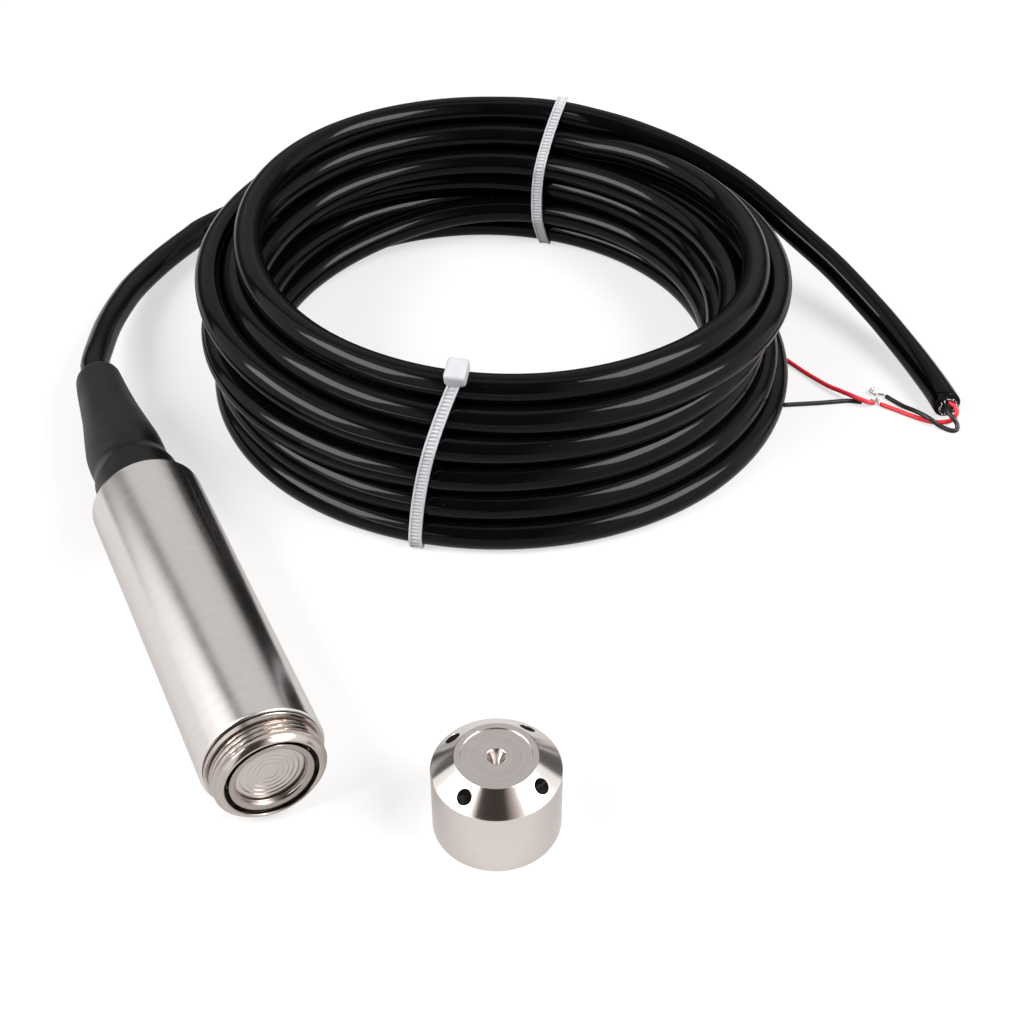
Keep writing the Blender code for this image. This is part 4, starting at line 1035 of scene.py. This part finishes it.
class PROBE_OT_probe(bpy.types.Operator):
    """Make the probe's turned pieces: body tube, threaded nose, weld ring and diaphragm"""
    bl_idname = "probe.probe"
    bl_label = "Probe"

    def execute(self, context):
        self.tube()
        self.nose()
        self.sensor_face()
        return {"FINISHED"}

    def tube(self):
        """The body tube, with broken edges."""
        bore = 12.5 * MM
        rear = TUBE_REAR - 1.2 * MM
        profile = [(BODY_R, rear), (BODY_R, TUBE_FRONT), (bore, TUBE_FRONT), (bore, rear)]
        obj = spun("body_tube", rounded(profile, 0.45 * MM), NOSE_CENTRE, ALONG_PROBE)
        shade(obj)
        finish = steel("turned_steel", NOSE_CENTRE, ALONG_PROBE)
        place_piece(obj, finish, "turned_steel", "housing_tube")

    def nose(self):
        """The nose piece: lip, helical thread and mouth, and the spigot inside the tube."""
        lip_rear = TUBE_FRONT - 0.3 * MM
        root, crest, pitch = 12.05 * MM, 12.65 * MM, 1.25 * MM
        groove = TUBE_FRONT + 4.0 * MM
        groove_end = groove + 1.9 * MM
        deep, lip = 11.2 * MM, 13.3 * MM
        thread_end = lip_rear - 1.15 * MM
        profile = [(root, HOLDER_REAR), (root, groove_end), (deep, groove_end), (deep, groove),
                   (root, groove), (root, lip_rear), (lip, lip_rear), (lip, thread_end)]
        rows = 104
        start = 0.12 * MM
        profile += [(root, thread_end + (start - thread_end) * row / rows)
                    for row in range(rows + 1)]
        mouth, seat, inner = 10.5 * MM, 9.8 * MM, 10.6 * MM
        seat_front, seat_rear = 3.5 * MM, 17.0 * MM
        profile += [(root - 0.92 * MM, 0.0), (10.7 * MM, 0.0), (mouth, 0.2 * MM),
                    (mouth, seat_front), (seat, seat_front), (seat, seat_rear),
                    (inner, seat_rear), (inner, HOLDER_REAR)]
        obj = spun("threaded_nose", profile, NOSE_CENTRE, ALONG_PROBE)
        for vertex in obj.data.vertices:
            along = vertex.co.y - NOSE_Y
            out = Vector((vertex.co.x - PROBE_X, 0.0, vertex.co.z - AXIS_Z))
            if start - 1e-6 <= along <= thread_end + 1e-6 and abs(out.length - root) < 1e-5:
                angle = math.atan2(out.z, out.x) / (2 * math.pi)
                phase = ((along - start) / pitch + angle) % 1.0
                flank = held((abs(phase - 0.5) - 0.05) / 0.18)
                collar = held((1.4 * MM - along) / (0.25 * MM))
                rise = flank * flank * (3 - 2 * flank) * (1.0 - collar)
                undercut = held((thread_end - 0.25 * MM - along) / (0.2 * MM))
                nose_edge = 0.8 * MM * max(0.0, 1.0 - (along - start) / (1.3 * MM)) ** 1.5
                out *= (root + (crest - root) * rise * undercut - nose_edge) / out.length
                vertex.co.x = PROBE_X + out.x
                vertex.co.z = AXIS_Z + out.z
        shade(obj, 38.0)
        finish = steel("bright_steel", NOSE_CENTRE, ALONG_PROBE, roughness=0.17,
                       colour=(0.60, 0.545, 0.51), mark_scale=0.6)
        # Painted shade on the mouth's inner wall, in the ring gap round the weld ring
        paint_gap_shade(finish, 0.0, 10.56 * MM, 0.25 * MM)
        place_piece(obj, finish, "bright_steel", "sensor_holder")

    def sensor_face(self):
        """The weld ring with its polished inner step, and the corrugated foil."""
        front, rear = 0.4 * MM, 1.9 * MM
        outer, bore = 9.5 * MM, 7.85 * MM
        profile = [(outer, rear), (outer, front), (8.3 * MM, front),
                   (bore, front + 0.45 * MM), (bore, rear)]
        ring = spun("weld_ring_turned", rounded(profile, 0.2 * MM), NOSE_CENTRE, ALONG_PROBE)
        shade(ring)
        finish = steel("ring_steel", NOSE_CENTRE, ALONG_PROBE, roughness=0.2,
                       colour=(0.46, 0.415, 0.39), mark_scale=0.8)
        # Painted shade on the ring's outer wall, in the gap inside the nose's mouth
        paint_gap_shade(finish, 9.45 * MM, 20 * MM, 0.7 * MM)
        place_piece(ring, finish, "bright_steel", "weld_ring")
        flat, waves_end, rim = 1.7 * MM, 7.4 * MM, 9.2 * MM
        front, rear = 2.2 * MM, 2.6 * MM
        waves, wave_depth, rows = 5, 0.11 * MM, 70
        face = []
        for row in range(rows + 1):
            turn = waves * 2 * math.pi * row / rows
            face.append((flat + (waves_end - flat) * row / rows,
                         front + wave_depth * (1 - math.cos(turn)) / 2))
        profile = ([(0.0, front)] + face + [(rim, front), (rim, rear)]
                   + [(radius, along + rear - front) for radius, along in reversed(face)]
                   + [(0.0, rear)])
        foil = spun("corrugated_foil", profile, NOSE_CENTRE, ALONG_PROBE, closed=False)
        shade(foil, 50.0)
        finish = steel("foil", NOSE_CENTRE, ALONG_PROBE, roughness=0.3,
                       colour=(0.68, 0.635, 0.605), mark_depth=0.001 * MM)
        place_piece(foil, finish, "foil", "diaphragm")


class PROBE_OT_boot(bpy.types.Operator):
    """Make the shrunk sleeve, which necks in behind the tube and narrows to the cable"""
    bl_idname = "probe.boot"
    bl_label = "Strain relief"

    def execute(self, context):
        tube_rear = TUBE_REAR / MM
        profile = [Vector((along + tube_rear, radius, 0.0)) for radius, along in BOOT_LINE]
        rows = [(point.y * MM, point.x * MM) for point in smooth_route(profile, 0.55)]
        rows += [(BOOT_BORE * MM, (tube_rear + along) * MM) for along in (56.3, 52.0, -3.9)]
        obj = spun("shrunk_sleeve", rows, NOSE_CENTRE, ALONG_PROBE, steps=96)
        self.shape(obj)
        shade(obj, 50.0)
        place_piece(obj, boot_material(), "boot_sleeve", "strain_relief_boot")
        return {"FINISHED"}

    def shape(self, obj):
        """Lean the sleeve's end to the cable's side and give it shallow shrink wrinkles."""
        lean_from = BOOT_REAR - BOOT_LEAN_LENGTH * MM
        for vertex in obj.data.vertices:
            along = vertex.co.y - NOSE_Y
            out = Vector((vertex.co.x - PROBE_X, 0.0, vertex.co.z - AXIS_Z))
            angle = math.atan2(out.z, out.x)
            if out.length > 5 * MM and along > TUBE_REAR + 2 * MM:
                behind = (along - TUBE_REAR) / MM
                fade = held((behind - 2.0) / 8.0) * held((56.0 - behind) / 6.0)
                wave = (math.sin(3 * angle + 0.21 * behind) + 0.6 * math.sin(
                    5 * angle - 0.13 * behind + 1.0)) * 0.07
                out *= 1.0 + wave * MM * fade / out.length
            share = max(0.0, (along - lean_from) / (BOOT_LEAN_LENGTH * MM))
            vertex.co.x = PROBE_X + out.x + BOOT_LEAN * MM * share * share
            vertex.co.z = AXIS_Z + out.z


class PROBE_OT_cap(bpy.types.Operator):
    """Make the guard cap: turned shell with a drilled cone, end land, dimple and inside thread"""
    bl_idname = "probe.cap"
    bl_label = "Guard cap"

    def execute(self, context):
        side, land, recess = 14.0 * MM, 8.9 * MM, 7.65 * MM
        height = CAP_HIGH[2]
        cone_low = 16.8 * MM
        outside = [(side - 0.2 * MM, 0.0), (side, 0.2 * MM), (side, cone_low), (land, height),
                   (recess, height), (recess - 0.02 * MM, height - 0.3 * MM),
                   (2.15 * MM, height - 0.32 * MM), (0.72 * MM, height - 2.75 * MM),
                   (0.66 * MM, height - 3.5 * MM), (0.0, height - 3.9 * MM)]
        bore, roof = 12.0 * MM, height - 5.7 * MM
        inside = [(0.0, roof), (bore, roof), (bore, 6.5 * MM)]
        rows = 40
        low, high = 0.9 * MM, 5.4 * MM
        thread = [(CAP_THREAD_R, high + (low - high) * row / rows) for row in range(rows + 1)]
        profile = (rounded(outside, 0.07 * MM, False) + rounded(inside, 0.4 * MM, False)
                   + [(CAP_THREAD_R, 6.1 * MM)] + thread + [(13.2 * MM, 0.0)])
        obj = spun("guard_cap_turned", list(reversed(profile)), CAP_CENTRE, UPRIGHT)
        self.cut_thread(obj, low, high)
        self.drill(obj)
        shade(obj, 30.0)
        place_piece(obj, cap_material(height, cone_low, land), "turned_steel", "guard_cap")
        return {"FINISHED"}

    def cut_thread(self, obj, low, high):
        """Raise the inside thread's helical ridges."""
        root, crest, pitch = CAP_THREAD_R, 12.15 * MM, 1.25 * MM
        for vertex in obj.data.vertices:
            out = Vector((vertex.co.x - CAP_X, vertex.co.y - CAP_Y, 0.0))
            up = vertex.co.z
            if abs(out.length - root) < 1e-5 and low <= up <= high:
                angle = math.atan2(out.y, out.x) / (2 * math.pi)
                phase = ((up - low) / pitch - angle) % 1.0
                rise = held(1.35 - 3.4 * abs(phase - 0.5))
                ends = held(min(up - low, high - up) / (0.4 * MM))
                out *= (root + (crest - root) * rise * ends) / out.length
                vertex.co.x = CAP_X + out.x
                vertex.co.y = CAP_Y + out.y

    def drill(self, obj):
        """Cut the four water holes through the cone and break their edges."""
        deselect()
        self.cut_holes(obj, 1.75 * MM, 1.75 * MM, 16.0 * MM, 0.0)
        self.cut_holes(obj, 1.55 * MM, 2.15 * MM, 0.6 * MM, 0.02 * MM)

    def cut_holes(self, obj, inner, outer, depth, shift):
        """Cut four round or conical holes square to the cone."""
        drills = []
        for number in range(4):
            angle = math.radians(HOLE_ANGLE + 90.0 * number)
            out = Vector((math.cos(angle), math.sin(angle), 0.0))
            heading = out * math.sin(CONE_SLOPE) + Vector(UPRIGHT) * math.cos(CONE_SLOPE)
            middle = (Vector(CAP_CENTRE) + out * HOLE_R + Vector(UPRIGHT) * HOLE_HEIGHT
                      + heading * shift)
            bpy.ops.mesh.primitive_cone_add(
                vertices=40, radius1=inner, radius2=outer, depth=depth, location=middle,
                rotation=heading.to_track_quat("Z", "Y").to_euler())
            drills.append(bpy.context.object)
        tool = join_pieces("water_hole_drill", drills)
        select(obj)
        cut = obj.modifiers.new("Water holes", "BOOLEAN")
        cut.object = tool
        cut.operation = "DIFFERENCE"
        cut.solver = "EXACT"
        bpy.ops.object.modifier_apply(modifier=cut.name)
        bpy.data.objects.remove(tool)


def cap_material(height, cone_low, land):
    """Satin side, polished cone, satin land and recessed end face; the side is painted lighter and the
    end face darker, as painted light.
    """
    look = bpy.context.scene.probe_steel
    material, tree, shader = new_material("cap_steel", tuple(look.colour), metallic=1.0)
    _, radius, along = axis_frame(tree, CAP_CENTRE, UPRIGHT)
    _, marks, handled, tone = lathe_marks(
        tree, CAP_CENTRE, UPRIGHT, (look.mark_spacing * 0.8, 7 * look.mark_spacing),
        (5 * MM, 4.0, 0.6))
    on_cone = times(tree, calc(tree, "GREATER_THAN", along, cone_low + 0.15 * MM),
                    calc(tree, "GREATER_THAN", radius, land + 0.1 * MM))
    on_top = times(tree, calc(tree, "GREATER_THAN", along, height - 0.6 * MM),
                   calc(tree, "LESS_THAN", radius, land + 0.06 * MM))
    # Painted light: the end face gets darker colours and the side lighter ones, standing in for how
    # each mirrors the lamps and the floor
    dark = blend_colours(tree, on_top, (0.76, 0.71, 0.68), (0.60, 0.55, 0.525))
    light = blend_colours(tree, on_top, (0.83, 0.775, 0.745), (0.76, 0.70, 0.67))
    drive(tree, shader, "Base Color", blend_colours(tree, tone, dark, light))
    satin = span(tree, handled, 0.3, 0.7, look.roughness * 0.85, look.roughness * 1.15)
    drive(tree, shader, "Roughness", mix(tree, on_cone, satin, 0.13))
    depth = plus(tree, times(tree, on_top, 0.6), 0.1)
    drive(tree, shader, "Normal", bump(tree, times(tree, marks, depth), 0.003 * MM))
    return material


class PROBE_OT_inner(bpy.types.Operator):
    """Give the pieces inside the probe their finishes"""
    bl_idname = "probe.inner"
    bl_label = "Inner pieces"

    def execute(self, context):
        finishes = {
            steel("inner_turned_steel", NOSE_CENTRE, ALONG_PROBE): (
                "sensor_core", "sensor_lock_ring", "rear_plug", "gland_nut"),
            steel("washer_steel", NOSE_CENTRE, ALONG_PROBE, roughness=0.22): (
                "gland_washer", "terminal_screw_1", "terminal_screw_2"),
            plastic("seal_rubber", (0.018, 0.018, 0.018), 0.55, 0.6 * MM, 0.02 * MM): (
                "holder_o_ring", "sensor_o_ring", "rear_o_ring", "gland_seal"),
            plastic("inner_jacket", (0.012, 0.012, 0.013), 0.3): ("inner_cable",),
            plastic("inner_red", tuple(context.scene.probe_trim.red), 0.32): (
                "supply_wire_red",),
            plastic("inner_black", (0.02, 0.02, 0.022), 0.36): (
                "supply_wire_black", "amplifier_chip", "protection_diode"),
            metal("inner_tinned_copper", (0.78, 0.76, 0.74), 0.25): ("reference_tube",),
            board_material(): ("circuit_board",),
            plastic("blue_plastic", (0.02, 0.09, 0.42), 0.35): ("zero_trimmer", "span_trimmer"),
            plastic("green_plastic", (0.02, 0.24, 0.07), 0.4): ("terminal_block",),
            plastic("sealing_glass", (0.05, 0.12, 0.10), 0.12): ("glass_header",),
            metal("gold_plate", (0.83, 0.60, 0.24), 0.25): (
                "header_pin_1", "header_pin_2", "header_pin_3", "header_pin_4",
                "loop_capacitor"),
            plastic("vent_nylon", (0.72, 0.72, 0.70), 0.35): ("breather_tube",)}
        for material, nodes in finishes.items():
            for name in nodes:
                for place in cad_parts[name].material_slots:
                    place.material = material
        return {"FINISHED"}


def board_material():
    """Green laminate with a faint weave and copper tracks under the resist."""
    colour = (0.015, 0.12, 0.05)
    material, tree, shader = new_material("board_laminate", colour, 0.35)
    place = object_place(tree)
    weave = add(tree, "TexBrick", {"Vector": place, "Scale": 900.0, "Color1": (*colour, 1.0),
                                   "Color2": (0.02, 0.15, 0.06, 1.0),
                                   "Mortar": (0.01, 0.09, 0.04, 1.0)})
    drive(tree, shader, "Base Color", weave.outputs["Color"])
    drive(tree, shader, "Normal", bump(tree, weave.outputs["Fac"], 0.01 * MM))
    return material


class PROBE_OT_stage(bpy.types.Operator):
    """Make the pale floor, the soft light and the camera at the photographed angle"""
    bl_idname = "probe.stage"
    bl_label = "Stage"

    def execute(self, context):
        look = context.scene.probe_stage
        self.camera(context, look)
        self.floor()
        self.lights(look)
        self.world(context, look)
        context.scene.view_settings.view_transform = "Standard"
        return {"FINISHED"}

    def camera(self, context, look):
        """The camera at the photographed place and angle."""
        data = bpy.data.cameras.new("camera")
        data.lens = look.lens
        data.sensor_width = 36.0
        data.clip_start = 0.01
        camera = new_object("camera", data)
        camera.location = CAMERA_PLACE
        camera.rotation_euler = (VIEW_TILT, 0.0, -VIEW_TURN)
        context.scene.camera = camera

    def floor(self):
        """The pale floor, dark only inside the cap, where its holes look down on it."""
        deselect()
        bpy.ops.mesh.primitive_plane_add(size=6.0, location=(0.0, 0.0, 0.0))
        floor = bpy.context.object
        floor.name = "floor"
        material, tree, shader = new_material("floor", (0.34, 0.34, 0.344), 0.9)
        shader.inputs["Specular IOR Level"].default_value = 0.1
        shader.inputs["Emission Color"].default_value = (1.0, 1.0, 1.0, 1.0)
        path = add(tree, "LightPath")
        seen = most(tree, path.outputs["Is Camera Ray"],
                    times(tree, mirrored_rays(tree, path), 0.4))
        from_cap = add(tree, "VectorMath", {0: object_place(tree), 1: CAP_CENTRE},
                       operation="DISTANCE").outputs["Value"]
        outside = calc(tree, "GREATER_THAN", from_cap, CAP_SHADE_R)
        drive(tree, shader, "Emission Strength",
              times(tree, times(tree, seen, outside), FLOOR_GLOW))
        floor.data.materials.append(material)

    def lights(self, look):
        """Two large softboxes, left and right, which face the object from above."""
        turn = Matrix.Rotation(-VIEW_TURN, 4, "Z")
        for name, (place, size) in SOFTBOXES.items():
            data = bpy.data.lights.new(name, "AREA")
            data.shape = "RECTANGLE"
            data.size, data.size_y = size
            data.energy = look.key * size[0] * size[1]
            data.color = look.tint
            lamp = new_object(name, data)
            lamp.location = turn @ Vector(place) + Vector(AIM)
            lamp.rotation_euler = (Vector(AIM) - lamp.location).to_track_quat(
                "-Z", "Y").to_euler()

    def world(self, context, look):
        """Even light for matt faces, and three pale walls that polished faces mirror."""
        world = bpy.data.worlds.new("studio")
        world.use_nodes = True
        context.scene.world = world
        tree = world.node_tree
        tree.nodes.clear()
        path = add(tree, "LightPath")
        view = add(tree, "Mapping", {"Vector": add(tree, "TexCoord").outputs["Generated"],
                                     "Rotation": (0.0, 0.0, VIEW_TURN)}).outputs["Vector"]
        parts = add(tree, "SeparateXYZ", {0: view}).outputs
        shiny = mirrored_rays(tree, path)
        past_left = dot(tree, view, PAST_LEFT)
        past_right = dot(tree, view, PAST_RIGHT)
        # The bright left wall, the far wall that pales upwards, and the bright right wall
        left = span(tree, past_left, -0.085, -0.06, look.bright_side, 0.08)
        far = times(tree, span(tree, past_left, 0.03, 0.055, 0.08, look.pale_side),
                    span(tree, parts["Z"], 0.22, 0.46, 0.18, 1.0))
        right = span(tree, past_right, -0.10, -0.02, look.bright_side, 0.0)
        wall = most(tree, most(tree, left, far), right)
        # Towards the camera the room is dark and what it mirrors is warm
        aside = most(tree, span(tree, parts["X"], -0.48, -0.38, 1.0, 0.0),
                     span(tree, parts["X"], 0.20, 0.62))
        open_part = most(tree, aside, span(tree, parts["Y"], -0.30, 0.0))
        wall = times(tree, wall, span(tree, open_part, 0.0, 1.0, look.dark_side, 1.0))
        seen = mix(tree, path.outputs["Is Camera Ray"], look.world, 1.0)
        warm = times(tree, shiny, calc(tree, "SUBTRACT", 1.0, open_part))
        colour = blend_colours(tree, warm, (1.0, 1.0, 1.0), (1.0, 0.80, 0.73))
        back = add(tree, "Background",
                   {"Color": colour, "Strength": mix(tree, shiny, seen, wall)})
        add(tree, "OutputWorld", {"Surface": back.outputs[0]})


class PROBE_PT_panel(bpy.types.Panel):
    """Lists the transmitter's operators and settings"""
    bl_idname = "PROBE_PT_panel"
    bl_label = "Level probe"
    bl_space_type = "VIEW_3D"
    bl_region_type = "UI"
    bl_category = "Level probe"

    def draw(self, context):
        for operator in OPERATORS:
            self.layout.operator(operator.bl_idname)
        for settings in (context.scene.probe_cable, context.scene.probe_steel,
                         context.scene.probe_trim, context.scene.probe_stage):
            for name in settings.__annotations__:
                self.layout.prop(settings, name)


OPERATORS = (PROBE_OT_stage, PROBE_OT_cores, PROBE_OT_ties, PROBE_OT_cable, PROBE_OT_probe,
             PROBE_OT_boot, PROBE_OT_cap, PROBE_OT_inner)
SETTINGS = {"probe_cable": CableSettings, "probe_steel": SteelSettings,
            "probe_trim": TrimSettings, "probe_stage": StageSettings}


def register():
    """Register the settings, the operators and the panel."""
    for name, group in SETTINGS.items():
        bpy.utils.register_class(group)
        setattr(bpy.types.Scene, name, bpy.props.PointerProperty(type=group))
    for operator in OPERATORS:
        bpy.utils.register_class(operator)
    bpy.utils.register_class(PROBE_PT_panel)


def unregister():
    """Remove what register() added."""
    bpy.utils.unregister_class(PROBE_PT_panel)
    for operator in reversed(OPERATORS):
        bpy.utils.unregister_class(operator)
    for name, group in SETTINGS.items():
        delattr(bpy.types.Scene, name)
        bpy.utils.unregister_class(group)


def main():
    """Make everything in order."""
    register()
    bpy.ops.probe.stage()
    bpy.ops.probe.cores()
    bpy.ops.probe.ties()
    bpy.ops.probe.cable()
    bpy.ops.probe.probe()
    bpy.ops.probe.boot()
    bpy.ops.probe.cap()
    bpy.ops.probe.inner()


if __name__ == "__main__":
    main()
